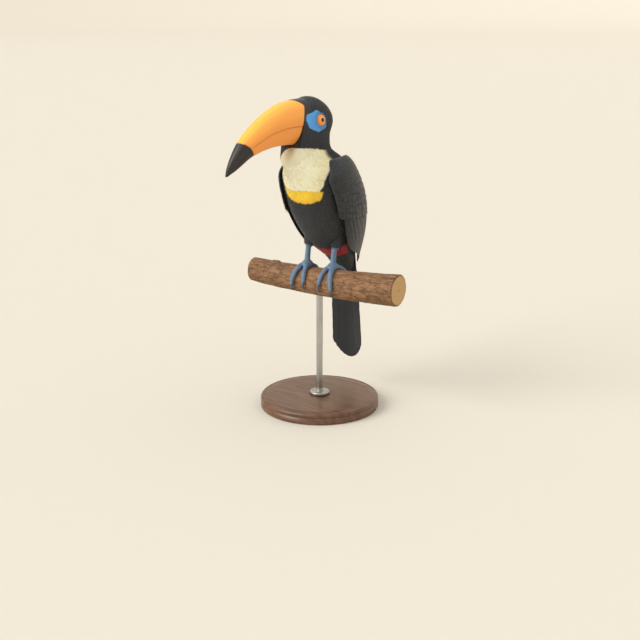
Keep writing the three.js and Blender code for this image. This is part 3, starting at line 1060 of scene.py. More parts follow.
class Markings:
    """The coat's markings, as shares that depend only on the place on the bird."""

    BLACK = linear(0x2C2F33)
    CREAM = linear(0xFFFADA)
    CREAM_DEEP = linear(0xF8EBB8)
    GOLD = linear(0xFFD63C)
    GOLD_DEEP = linear(0xF2B020)
    RED = linear(0xB3262B)
    WHITE = linear(0xEFECE4)
    MIDDLE = 3.0  # the bib and the band lie a little to the bird's left
    BIB_HEIGHTS = (146.0, 150.0, 160.0, 172.0, 183.0, 195.0, 205.0, 210.0, 213.0, 215.0)
    BIB_HALVES = (24.0, 28.0, 33.5, 36.5, 37.5, 34.0, 28.5, 25.0, 20.0, 10.0)
    BIB_FOOT = 151.0
    BAND_HEIGHTS = (131.0, 138.0, 151.0)
    BAND_HALVES = (14.0, 28.0, 33.0)
    BAND_LOW = 131.0
    EYE_SKIN = (-28.6, 253.2, 18.2, 16.0)  # middle as y and height, half length and half height

    def __init__(self, form: BodyForm) -> None:
        """Keeps the form that the markings lie on."""
        self.form = form

    @classmethod
    def black(cls, shape: tuple[int, ...], tone: float = 1.0) -> Array:
        """The coat's black, darkened by a tone, for every point of that shape."""
        return np.broadcast_to(cls.BLACK * (tone, tone, tone, 1.0), (*shape, 4))

    @classmethod
    def all_black(cls, a: Array, _b: Array) -> Array:
        """The coat's black at every place of a surface."""
        return cls.black(a.shape)

    def eye_skin(self, straight: Array) -> Array:
        """Share of bare skin: a rounded hexagon on each side of the head, blunter behind.

        Args:
            straight: Points before the head turns.

        Returns:
            About 1 inside, 0.5 on the border and 0 outside.
        """
        middle_y, middle_h, long, high = self.EYE_SKIN
        y = (straight[..., 1] - middle_y) / long
        h = (straight[..., 2] - self.form.perch_height - middle_h) / high
        y, h = np.abs(y), np.abs(h)
        radius = np.maximum((y**2.4 + h**2.4) ** (1 / 2.4), h * 0.98 + y * 0.45)
        return (1.0 - ramp(radius, 0.94, 1.06)) * (np.abs(straight[..., 0]) > 8.0)

    def tint(self, rib: Array, angle: Array) -> Array:
        """Colour of the coat: black, a cream bib over a golden band, red under the tail and a white rump.

        Args:
            rib: Rib numbers.
            angle: Angles round the body from the breast.

        Returns:
            Linear colours with alpha.
        """
        rib, angle = np.broadcast_arrays(rib, angle)
        place = self.form.point(rib, angle)
        x, h = place[..., 0], place[..., 2] - self.form.perch_height
        turn = np.abs(wrapped(angle))
        ragged = noise(place, 3.0, 11) * 0.5
        out = np.abs(x - self.MIDDLE)
        ahead = ramp(turn, math.radians(112), math.radians(96))
        wide = out / np.interp(h, self.BIB_HEIGHTS, self.BIB_HALVES)
        above = ramp(h + ragged, self.BIB_FOOT - 0.6, self.BIB_FOOT + 0.6)
        bib = (1 - ramp(wide + ragged * 0.02, 0.98, 1.02)) * above * (h < self.BIB_HEIGHTS[-1]) * ahead
        low = self.BAND_LOW + 7.0 * (out / 28.0) ** 2.4
        band = ramp(h + ragged, low - 0.6, low + 0.6) * (1 - above) * ahead
        band = band * (1 - ramp(out / np.interp(h, self.BAND_HEIGHTS, self.BAND_HALVES), 0.98, 1.02))
        limit = np.radians(np.interp(rib, (12.0, 13.0, 14.0), (76.0, 66.0, 46.0)))
        red = ramp(rib, 11.95, 12.15) * (1 - ramp(rib, 12.75, 12.95))
        red = red * (1 - ramp(turn, limit - 0.05, limit + 0.05))
        white = ramp(rib, 11.9, 12.2) * ramp(turn, math.radians(138), math.radians(145))
        bib, band, red, white = (share[..., None] for share in (bib, band, red, white))
        cream = mix(self.CREAM, self.CREAM_DEEP, ramp(wide, 0.35, 1.0)[..., None] * 0.5)
        gold = mix(self.GOLD, self.GOLD_DEEP, ramp(h, 142.0, 129.0)[..., None] * 0.7)
        colour = np.broadcast_to(self.BLACK, (*x.shape, 4))
        for share, other in ((bib, cream), (band, gold), (red, self.RED), (white, self.WHITE)):
            colour = mix(colour, other, share)
        return colour


# ------------------------------------------------------------------ skin


@dataclass
class EyeSeat:
    """Where an eye sits: its ball as packed, and the axis it looks along."""

    form: BodyForm
    side: Side
    aperture: float = 9.0  # radius of the opening between the lids
    stand: float = 1.5  # how far the eye's front stands out of the head's form
    flat: float = 0.7  # depth of the ball as a share of its width

    def __post_init__(self) -> None:
        """Finds the ball's middle and radius, and the form's normal at the point nearest to it."""
        low, high = node_box(f"eye_{self.side.word}")
        self.middle = (low + high) / 2
        self.radius = float((high - low).max() / 2)
        around = self.side.value * np.radians(np.linspace(50, 130, 160))
        rib, angle = np.meshgrid(np.linspace(0.5, 4.5, 160), around)
        points, normals = self.form.surface(rib, angle)
        away = np.linalg.norm(points - self.middle, axis=-1)
        nearest = np.unravel_index(away.argmin(), rib.shape)
        self.axis = normals[nearest]
        self.middle = self.middle + self.axis * (away[nearest] + self.stand - self.flat * self.radius)

    def front(self, out: Array) -> Array:
        """Height of the ball's front over its middle, at a distance from the axis: a flattened sphere's."""
        return self.flat * np.sqrt(np.maximum(self.radius**2 - out**2, 0.0))

    def polar(self, points: Array) -> tuple[Array, Array]:
        """Distance of points from the eye's axis, and their height along it over the ball's middle."""
        offset = points - self.middle
        height = offset @ self.axis
        return np.linalg.norm(offset - height[..., None] * self.axis, axis=-1), height


@dataclass
class Skin:
    """The one skin under the whole coat: body, thighs, shanks and feet in a single closed mesh."""

    form: BodyForm
    marks: Markings
    seats: list[EyeSeat]
    rings: int = 250
    sides: int = 210
    lid_height: float = 1.0
    lid_at: float = 1.0  # how far outside the opening the lid's crest lies
    lid_width: float = 0.9
    lid_reach: float = 5.0  # how far out of the opening the skin bends down to the ball
    voxel: float = 0.62

    def body(self) -> Shell:
        """The body's skin: the form moved in by the coat's depth, with lids and folds round the eyes.

        Ribs and angles lie closer near the eyes: the ribs by a bent line, the angles by a sine added to an
        even run. Near an eye the skin bends to meet the ball at the opening's edge. Its height along the
        eye's axis gains a crest at the lid's edge, a groove outside it and a second low crease, and drops
        inside the opening. The groove, the second crease and the lid's edge carry painted shade.

        Returns:
            The shell, which carries the kinds of skin, their colour and the painted shade round the eyes.
        """
        run = np.linspace(0.0, 1.0, self.rings)
        rib = self.form.END * np.interp(run, (0, 0.04, 0.42, 1), (0.0, 0.07, 0.3, 1))
        turn = turns(self.sides)
        angle = turn + 0.36 * np.sin(2.0 * turn)
        rib, angle = np.meshgrid(rib, angle, indexing="ij")
        points, normals = self.form.surface(rib, angle)
        bare = self.marks.eye_skin(self.form.straight(rib, angle))
        depth = self.form.depth(rib) * (1.0 - bare) + 0.15 * bare
        wrinkle = layered_noise(points * (1.0, 1.0, 1.5), 2.6, 5) * 0.22 * bare
        points = points + normals * (wrinkle - depth)[..., None]
        shade = np.full(rib.shape, 1.0)
        for seat in self.seats:
            out, height = seat.polar(points)
            edge = seat.aperture
            near = (out < 18.0) & (height > -2.0)
            uneven = 1.0 + 0.18 * layered_noise(points, 3.0, 21)
            meet = 1.0 - ramp(out, edge, edge + self.lid_reach)
            bend = (seat.front(edge) - 0.3 - height) * meet
            crest = self.lid_height * bell(out, edge + self.lid_at, self.lid_width) * uneven
            groove = -0.5 * bell(out, edge + 2.9, 0.6) * uneven + 0.3 * bell(out, edge + 4.1, 0.7)
            groove = groove - 0.22 * bell(out, edge + 5.3, 0.5) * uneven
            inside = np.maximum(edge - out, 0.0)
            rise = bend + crest + groove - np.minimum(inside * 2.5, 5.0)
            points = points + np.where(near, rise, 0.0)[..., None] * seat.axis
            # painted shade: darker in the two grooves outside the lid and along the lid's edge
            dark = bell(out, edge + 2.9, 0.7) + bell(out, edge + 5.3, 0.5) * 0.7
            dark = dark + ramp(out, edge + 0.9, edge + 0.1)
            shade = np.where(near, np.clip(shade - dark * 0.8, 0.0, 1.0), shade)
        kind = together(bare, np.zeros_like(bare), shade)
        tint = self.marks.tint(rib, angle) * (0.85, 0.85, 0.85, 1.0)
        return closed_loft(points, {"kind": kind, "tint": tint})

    def build(self, material: Material) -> Piece:
        """Makes the skin, with both legs joined into the body by a boolean union.

        Args:
            material: The finish of the skin.

        Returns:
            The skin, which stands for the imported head, neck, trunk and legs.
        """
        skin = make_object("skin", self.body(), material)
        for side in Side:
            leg = Leg(self.form, side).build(material, self.voxel)
            union = skin.modifiers.new(f"join_{side.word}", "BOOLEAN")
            union.object = leg
            union.operation = "UNION"
            union.solver = "MANIFOLD"
            apply_modifiers(skin)
            bpy.data.objects.remove(leg)
        skin.data.shade_smooth()
        flesh = ["head", "neck", "trunk"]
        flesh += [f"{part}_{side.word}" for part in ("thigh", "shank", "foot") for side in Side]
        return declare(skin, "leg_skin", *flesh)


@dataclass(frozen=True)
class Digit:
    """A toe: way is 1 forwards and -1 back, root and end are side shifts, reach is in degrees."""

    name: str
    way: int
    root: float
    end: float
    reach: float
    radius: float


@dataclass
class Leg:
    """A thigh, a bare scaly shank and a foot with two toes forwards and two back."""

    form: BodyForm
    side: Side
    x: float = 24.0
    ankle: Pair = (8.0, 74.0)  # y and height over the perch
    sole: Pair = (1.0, 27.0)
    shank_half: Pair = (4.6, 5.4)
    waist: float = 0.14
    thigh_top: Pair = (18.0, 84.0)
    thigh_end: Pair = (6.5, 50.0)
    thigh_radius: Pair = (16.0, 8.5)
    palm: tuple[float, float, float] = (8.5, 11.0, 7.5)
    palm_above: float = 3.5
    toe_start: float = -8.0
    toe_taper: float = 0.22
    pads: int = 3
    pad_swell: float = 0.07
    press: float = 0.85
    coat: float = 2.2  # depth of the coat on the thigh
    scute: float = 3.4  # length of one of the plates along the shank and the toes
    digits: tuple[Digit, ...] = (
        Digit("front_outer", 1, 4.0, 12.5, 112.0, 4.4),
        Digit("front_inner", 1, -4.0, -9.5, 98.0, 4.1),
        Digit("back_outer", -1, 4.0, 12.0, 92.0, 4.2),
        Digit("back_inner", -1, -3.6, -8.5, 66.0, 3.7),
    )

    def at(self, y: float, h: float) -> Array:
        """A point in the leg's own upright plane."""
        return np.array([self.side.value * self.x, y, h + self.form.perch_height])

    def toe_path(self, digit: Digit, degrees: Array, radius: Array) -> Array:
        """The middle line of a toe: it winds round the perch at the toe's radius over the bark.

        Args:
            digit: The toe.
            degrees: How far round the perch from the toe's root.
            radius: The toe's radius there.

        Returns:
            Points in millimetres.
        """
        shift = mix(digit.root, digit.end, ramp(degrees / digit.reach, 0.0, 1.0))
        x = self.side.value * (self.x + shift)
        angle = np.radians(degrees + self.toe_start)
        out = Perch.radius_at(x) + radius * self.press
        height = self.form.perch_height + Perch.rise_at(x) + out * np.cos(angle)
        return together(x, -digit.way * out * np.sin(angle), height)

    def thigh_line(self, s: Array) -> tuple[Array, Array]:
        """The thigh's middle line and its radius: a taper that closes like a rounded cone's end."""
        path = mix(self.at(*self.thigh_top), self.at(*self.thigh_end), s[..., None])
        return path, mix(*self.thigh_radius, s**0.8) * np.sqrt(1.0 - s**10)

    def thigh_surface(self, s: Array, turn: Array) -> tuple[Array, Array]:
        """The outside of the thigh's plumage, by the place down the thigh and the angle round it.

        Args:
            s: Places down the thigh, from 0 to 1.
            turn: Angles round it.

        Returns:
            Points and normals.
        """
        path = mix(self.at(*self.thigh_top), self.at(*self.thigh_end), s[..., None])
        way = unit(self.at(*self.thigh_end) - self.at(*self.thigh_top))
        beside = np.array((1.0, 0.0, 0.0))
        ahead = np.cross(way, beside)
        normal = np.cos(turn)[..., None] * beside + np.sin(turn)[..., None] * ahead
        radius = mix(*self.thigh_radius, np.clip(s, 0.0, 2.0) ** 0.8)
        return path + normal * radius[..., None], normal

    def shank_line(self, s: Array) -> tuple[Array, Array, Array]:
        """The shank's middle line from the foot up, and its half widths, drawn in a little at the middle."""
        path = mix(self.at(*self.sole), self.at(*self.ankle), s[..., None])
        draw = 1.0 - self.waist * np.sin(math.pi * s)
        return path, self.shank_half[0] * draw, self.shank_half[1] * draw

    def toe_line(self, digit: Digit, s: Array) -> tuple[Array, Array]:
        """A toe's middle line and radius: a taper times a slow swell for the pads, closed at its end."""
        radius = digit.radius * (1.0 - self.toe_taper * s)
        swell = 1.0 + self.pad_swell * np.cos(FULL_TURN * self.pads * s)
        return self.toe_path(digit, s * digit.reach, radius), radius * swell * (1.0 - s**12) ** 0.4

    def flesh(self) -> Shell:
        """Thigh, shank, palm and toes as overlapping closed shells, before they are melted together.

        Returns:
            One shell of all of them.
        """
        s = np.linspace(0.0, 0.995, 40)
        path, radius = self.thigh_line(s)
        radius = np.maximum(radius - self.coat, 1.0)
        shells = [closed_loft(tube(path, radius, radius, 40))]
        path, half_a, half_b = self.shank_line(np.linspace(0.0, 1.0, 40))
        shells.append(closed_loft(tube(path, half_a, half_b, 36)))
        for digit in self.digits:
            path, radius = self.toe_line(digit, s)
            shells.append(closed_loft(tube(path, np.maximum(radius, 0.3), np.maximum(radius, 0.3), 30)))
        pole = np.linspace(0.02, math.pi - 0.02, 24)
        ball = revolved(together(np.sin(pole), np.cos(pole)), 32)
        middle = self.at(self.sole[0], float(Perch.radius_at(self.side.value * self.x)) + self.palm_above)
        shells.append(closed_loft(ball * self.palm + middle))
        return joined(shells)

    def scales(self, points: Array, normals: Array) -> tuple[Array, Array]:
        """Relief of the scales, and the painted shade of their creases.

        Each point takes the nearest middle line and its running length on it. Plates are the size of a half
        sine of that length, to the power 0.35, deepest on the outer side, and small pebbles cover the rest.

        Args:
            points: Points of the melted leg.
            normals: Their normals.

        Returns:
            How far each point moves out, and its painted shade, from 0 in a crease to 1 on a plate.
        """
        s = np.linspace(0.0, 1.0, 60)
        lines = [self.shank_line(s)[0]] + [self.toe_line(digit, s)[0] for digit in self.digits]
        runs = [np.append(0.0, np.cumsum(np.linalg.norm(np.diff(line, axis=0), axis=1))) for line in lines]
        tops = [np.broadcast_to((0.0, -1.0, 0.0), (60, 3))]
        axis_height = self.form.perch_height + Perch.rise_at(self.side.value * self.x)
        tops += [unit((line - (0.0, 0.0, axis_height)) * (0.0, 1.0, 1.0)) for line in lines[1:]]
        line, run, top = np.concatenate(lines), np.concatenate(runs), np.concatenate(tops)
        gaps = np.linalg.norm(points[:, None] - line[None], axis=-1)
        nearest = gaps.argmin(1)
        facing = ramp((normals * top[nearest]).sum(1), -0.35, 0.25)
        way = unit(np.gradient(line, axis=0))[nearest]
        exact = run[nearest] + ((points - line[nearest]) * way).sum(1)
        plate = np.abs(np.sin(math.pi * exact / self.scute)) ** 0.35
        pebble = np.abs(noise(points, 1.5, 3)) ** 0.5
        relief = mix(0.16 * (pebble - 0.5), 0.34 * (plate - 0.75), facing)
        return relief, mix(0.35 + 0.65 * pebble, plate, facing)

    def build(self, material: Material, voxel: float) -> Piece:
        """Makes the leg: its shells melted into one by a voxel remesh, smoothed, and then scaled.

        Args:
            material: The finish of the skin.
            voxel: Size of the remesh's cells, in millimetres.

        Returns:
            The leg, which the skin's union then takes in.
        """
        leg = make_object(f"leg_{self.side.word}", self.flesh(), material)
        melt = leg.modifiers.new("melt", "REMESH")
        melt.mode = "VOXEL"
        melt.voxel_size = voxel * MM
        soften = leg.modifiers.new("soften", "SMOOTH")
        soften.factor = 0.5
        soften.iterations = 5
        apply_modifiers(leg)
        mesh = leg.data
        count = len(mesh.vertices)
        points, normals = np.empty(count * 3, np.float32), np.empty(count * 3, np.float32)
        mesh.vertices.foreach_get("co", points)
        mesh.vertex_normals.foreach_get("vector", normals)
        points, normals = points.reshape(-1, 3).astype(float) / MM, normals.reshape(-1, 3).astype(float)
        low = self.thigh_end[1] + self.form.perch_height
        bare = 1.0 - ramp(points[:, 2], low + 3.0, low + 9.0)
        relief, shade = self.scales(points, normals)
        points = points + normals * (relief * bare)[:, None]
        mesh.vertices.foreach_set("co", flat_numbers(points * MM))
        add_layer(mesh, "kind", together(np.zeros(count), bare, shade))
        add_layer(mesh, "tint", Markings.black((count,), 0.6))
        return leg


# ------------------------------------------------------------------ coat


@dataclass(frozen=True)
class VaneMake:
    """How one kind of small feather is made. Lengths across are shares of the feather's half width."""

    rows: tuple[float, ...] = (0.0, 0.3, 0.6, 0.82, 1.0)
    columns: int = 5
    root_share: float = 0.45  # width at the root
    round_from: float = 0.55  # where the tip begins to round
    tip_share: float = 0.3  # width left at the very tip
    camber: float = 0.16  # how far the edges curve down
    thick: float = 0.3
    fray: float = 0.05  # raggedness of the tip, as a share of the length
    wave: float = 0.0  # how far the tip swings to a side, as a share of the length


class Vanes:
    """Small feathers laid on a surface, each a thin closed blade that follows it."""

    PULL = 0.5  # how far a vane's colours are drawn to the colour of its own middle

    def __init__(self, surface: Surface, tint: Callable[[Array, Array], Array], rng: Chance) -> None:
        """Keeps the surface, its colours by the same two coordinates, and the source of chance."""
        self.surface = surface
        self.tint = tint
        self.rng = rng

    def lay(
        self,
        make: VaneMake,
        a: Array,
        b: Array,
        length: Array,
        width: Array,
        yaw: Array,
        low: Array,
        high: Array,
        bake: Array,
    ) -> Shell:
        """Lays the feathers.

        A feather's point at s along and t across lies s times its length down the lie and t times its half
        width beside it, turned by yaw, and stands off the surface by low at the root, rising to high at the
        tip, less a camber of t squared.

        Args:
            make: The make of feather.
            a: The roots' coordinate along the lie.
            b: The roots' coordinate across it.
            length: Lengths in millimetres.
            width: Widths in millimetres.
            yaw: Turn away from the lie, in radians.
            low: Stand-off at the roots, in millimetres.
            high: Stand-off at the tips.
            bake: The roots' places on the bake map.

        Returns:
            One shell of all the feathers.
        """
        count, columns = len(a), make.columns
        fields = (a, b, length, width, yaw, low, high)
        a, b, length, width, yaw, low, high = (values[:, None, None] for values in fields)
        s = np.array(make.rows)[None, :, None]
        t = np.linspace(-1.0, 1.0, columns)[None, None]
        past = np.clip((s - make.round_from) / (1.0 - make.round_from), 0.0, 1.0)
        closing = np.maximum(np.sqrt(1.0 - past**2.2), make.tip_share)
        half = width / 2 * (mix(make.root_share, 1.0, ramp(s, 0.0, 0.5)) * closing)
        ragged = self.rng.uniform(-1.0, 1.0, (count, 1, columns)) * make.fray * ramp(s, 0.7, 1.0)
        curl = self.rng.normal(0.0, make.wave, (count, 1, 1)) * length * s**2
        x = (s * (1.0 + ragged) - 0.1 * t**2 * ramp(s, 0.6, 1.0)) * length
        y = t * half + curl
        step = 1e-3
        over_a = self.surface(a + step, b)[0] - self.surface(a - step, b)[0]
        over_b = self.surface(a, b + step)[0] - self.surface(a, b - step)[0]
        size_a, size_b = (np.linalg.norm(over, axis=-1) / (2 * step) for over in (over_a, over_b))
        at_a = a + (x * np.cos(yaw) - y * np.sin(yaw)) / np.maximum(size_a, 1e-6)
        at_b = b + (x * np.sin(yaw) + y * np.cos(yaw)) / np.maximum(size_b, 1e-6)
        points, normals = self.surface(at_a, at_b)
        lean = self.rng.uniform(-1.0, 1.0, (count, 1, 1)) * 0.04
        lift = mix(low, high, s**0.8) - make.camber * half * t**2 + (0.07 + lean) * t * half
        top = points + normals * lift[..., None]
        mid = columns // 2
        keel = points[:, :, mid] + normals[:, :, mid] * (lift[:, :, mid] - make.thick)[..., None]
        seen = int(len(make.rows) * 0.6)
        middle_a, middle_b = at_a[:, seen, None, mid, None], at_b[:, seen, None, mid, None]
        tint = self.tint(mix(at_a, middle_a, self.PULL), mix(at_b, middle_b, self.PULL))
        return blades(top, keel, self.layers(make, t, tint, bake))

    def layers(self, make: VaneMake, t: Array, tint: Array, bake: Array) -> dict[str, Array]:
        """What the feathers' points carry: the place in the vane, the tint and the place on the bake map.

        Args:
            make: The make of feather.
            t: Places across, from -1 to 1.
            tint: The upper faces' colours.
            bake: The roots' places on the bake map.

        Returns:
            Values by name, for each feather, row and place in the ring.
        """
        count, rows, ring = len(tint), len(make.rows), make.columns + 1
        s = np.array(make.rows)[None, :, None]
        across = np.append(t.ravel(), 0.0)[None, None]
        chance = self.rng.uniform(0.0, 1.0, (count, 1, 1))
        vane = together(s, across, chance)
        patch = vane[..., [1, 0]] * (0.5, 1.0) - (0.0, 0.5)
        patch = np.broadcast_to(patch, (count, rows, ring, 2)) * BAKE_PATCH
        root = np.clip(bake, BAKE_PATCH, 1.0 - BAKE_PATCH)[:, None, None]
        mid = make.columns // 2
        tint = np.concatenate([tint, tint[:, :, mid : mid + 1]], axis=2)
        return {"vane": vane, "tint": tint, BAKE_MAP: root + patch}


@dataclass
class Coat:
    """The contour feathers of head, neck, trunk and thighs, in rows along lines from the bill to the tail."""

    form: BodyForm
    marks: Markings
    wing: "Wing"  # either one, as both cover the same ribs and angles
    bill: "Bill"
    lines: int = 176  # lines of feathers round the head
    first_rib: float = 0.12
    last_rib: float = 14.9
    thin_from: float = 8.8  # every second line ends between these ribs, and the rest grow wider
    thin_to: float = 10.2
    vent_from: float = 12.0  # and every second one of those between these
    vent_to: float = 13.2
    step_ribs: tuple[float, ...] = (0.0, 1.0, 2.5, 4.5, 6.0, 8.0, 10.0, 12.5, 15.0)
    steps: tuple[float, ...] = (1.35, 1.5, 1.8, 2.1, 2.5, 3.1, 4.0, 5.0, 7.5)  # between rows, in millimetres
    reach: float = 3.2  # a feather's length in rows
    thigh_rings: tuple[int, int] = (12, 30)  # rings of thigh feathers, and feathers in a ring
    thigh_run: Pair = (0.1, 0.66)  # where down the thigh the rings lie
    thigh_length: Pair = (9.0, 6.5)
    thigh_width: Pair = (5.6, 3.6)

    def roots(self, rng: Chance) -> tuple[Array, Array, Array]:
        """Places the roots: each line is cut at equal counts of rows, every second one shifted by half a row.

        Args:
            rng: The source of chance.

        Returns:
            Rib, angle and the clear width between neighbouring lines.
        """
        rib = np.linspace(self.first_rib, self.last_rib, 900)
        angle = (np.arange(self.lines) + 0.5) / self.lines * FULL_TURN
        points = self.form.point(rib[:, None], angle[None])
        lengths = np.linalg.norm(np.diff(points, axis=0), axis=-1)
        middle = (rib[1:] + rib[:-1]) / 2
        counts = np.cumsum(lengths / np.interp(middle, self.step_ribs, self.steps)[:, None], axis=0)
        ends = np.full(self.lines, self.last_rib)
        odd = np.arange(self.lines) % 2 == 1
        quarter = np.arange(self.lines) % 4 == 2
        ends[odd] = rng.uniform(self.thin_from, self.thin_to, odd.sum())
        ends[quarter] = rng.uniform(self.vent_from, self.vent_to, quarter.sum())
        ribs, angles = [], []
        for k in range(self.lines):
            at = np.arange(0.25 + 0.5 * (k % 2), counts[-1, k], 1.0)
            at = at + rng.uniform(-0.22, 0.22, len(at))
            on = np.interp(at, counts[:, k], middle)
            on = on[on < ends[k]]
            ribs.append(on)
            angles.append(np.full(len(on), angle[k]))
        rib, angle = np.concatenate(ribs), np.concatenate(angles)
        step = FULL_TURN / self.lines
        over = self.form.point(rib, angle + step) - self.form.point(rib, angle - step)
        gap = np.linalg.norm(over, axis=-1) / 2
        grow = 1.0 + ramp(rib, self.thin_from, self.thin_to)
        grow = grow * (1.0 + ramp(rib, self.vent_from, self.vent_to))
        angle = angle + rng.uniform(-0.25, 0.25, len(angle)) * step * grow
        return rib, angle, gap * grow

    def build(self, material: Material) -> list[Piece]:
        """Makes the coat in pieces from head to tail.

        Args:
            material: The finish of the feathers.

        Returns:
            The pieces.
        """
        rng = np.random.default_rng(7)
        rib, angle, gap = self.roots(rng)
        row = np.interp(rib, self.step_ribs, self.steps)
        point = self.form.point(rib, angle)
        metre = np.linalg.norm(self.form.point(rib + 0.02, angle) - point, axis=-1) / 0.02
        length = row * self.reach * rng.uniform(0.88, 1.14, len(rib))
        width = np.minimum(gap * 2.3, length * 0.75) * rng.uniform(0.9, 1.12, len(rib))
        bare_root = self.marks.eye_skin(self.form.straight(rib, angle))
        bare_tip = self.marks.eye_skin(self.form.straight(rib + length * 0.8 / metre, angle))
        keep = (bare_root < 0.4) & (bare_tip < 0.6) & self.bill.clear_of(rib, point)
        keep &= ~self.wing.covers(rib, angle)
        high = rng.uniform(-0.06, 0.09, len(rib)) * np.clip(row / 3.0, 0.4, 1.6)
        yaw = 0.16 * noise(point, 16.0, 77) + rng.normal(0.0, 0.07, len(rib))
        bake = together(angle / FULL_TURN % 1.0, rib / self.form.END)
        fields = (rib, angle, length, width, yaw, -0.15 - self.form.depth(rib), high, bake)
        ahead = np.cos(angle) > 0
        vanes = Vanes(self.form.surface, self.marks.tint, rng)
        small = VaneMake(rows=(0.0, 0.4, 0.75, 1.0), columns=3, thick=0.2)
        large = VaneMake(rows=(0.0, 0.3, 0.55, 0.78, 0.93, 1.0), columns=5, thick=0.25, wave=0.02)
        tracts = (
            ("head_feathers", rib < 5.0, small),
            ("throat_feathers", (rib >= 5.0) & (rib < 8.8) & ahead, large),
            ("nape_feathers", (rib >= 5.0) & (rib < 8.8) & ~ahead, large),
            ("breast_feathers", (rib >= 8.8) & (rib < 11.0), large),
            ("belly_feathers", rib >= 11.0, large),
        )
        pieces = []
        for name, there, make in tracts:
            shell = vanes.lay(make, *(values[keep & there] for values in fields))
            pieces.append(make_piece(name, shell, material, "plumage"))
        for side in Side:
            shell = self.thigh(side, rng)
            pieces.append(make_piece(f"thigh_feathers_{side.word}", shell, material, "plumage"))
        return pieces

    def thigh(self, side: Side, rng: Chance) -> Shell:
        """The short feathers of one thigh, in rings that end in a ragged cuff over the shank.

        Args:
            side: Which thigh.
            rng: The source of chance.

        Returns:
            The shell of its feathers.
        """
        leg = Leg(self.form, side)
        rings, ring = self.thigh_rings
        around = np.arange(ring) / ring * FULL_TURN
        s, turn = np.meshgrid(np.linspace(*self.thigh_run, rings), around, indexing="ij")
        turn = turn + (np.arange(rings)[:, None] % 2) * math.pi / ring
        s = (s + rng.uniform(-0.015, 0.015, s.shape)).ravel()
        turn = (turn + rng.uniform(-0.05, 0.05, turn.shape)).ravel()
        length = mix(*self.thigh_length, s) * rng.uniform(0.88, 1.12, len(s))
        width = mix(*self.thigh_width, s) * rng.uniform(0.9, 1.1, len(s))
        low, high = np.full(len(s), 0.2 - leg.coat), rng.uniform(-0.5, -0.1, len(s))
        yaw = rng.normal(0.0, 0.09, len(s))
        shift = 0.25 if side is Side.LEFT else 0.75
        bake = together(shift + 0.1 * np.sin(turn), 0.8 + 0.06 * s)
        make = VaneMake(rows=(0.0, 0.35, 0.7, 0.9, 1.0), columns=5, thick=0.25, wave=0.03)
        vanes = Vanes(leg.thigh_surface, Markings.all_black, rng)
        return vanes.lay(make, s, turn, length, width, yaw, low, high, bake)


# ------------------------------------------------------------------ wings


def long_feathers(
    top: Array,
    keel: Array,
    s: Array,
    chance: Array,
    tone: float,
    column: Array,
    column_width: float,
    row: Array,
) -> Shell:
    """Closes long feathers and gives their points what the finish and the bake map need.

    Args:
        top: Points of the upper faces, by feather, row and column.
        keel: Points of the keels, by feather and row.
        s: Places along the feathers, from 0 at the root to 1 at the tip.
        chance: One chance number for each feather.
        tone: Tone of the black, 1 as on the coat.
        column: Each feather's middle on the bake map.
        column_width: Its half width there.
        row: Its rows' places there.

    Returns:
        One shell of all the feathers.
    """
    count, rows, columns = top.shape[:3]
    shape = (count, rows, columns + 1)
    wide = np.broadcast_to(np.append(np.linspace(-1.0, 1.0, columns), 0.0), shape)
    bake = together(column + wide * column_width, row)
    layers = {"vane": together(s, wide, chance), "tint": Markings.black(shape, tone), BAKE_MAP: bake}
    return blades(top, keel, layers)


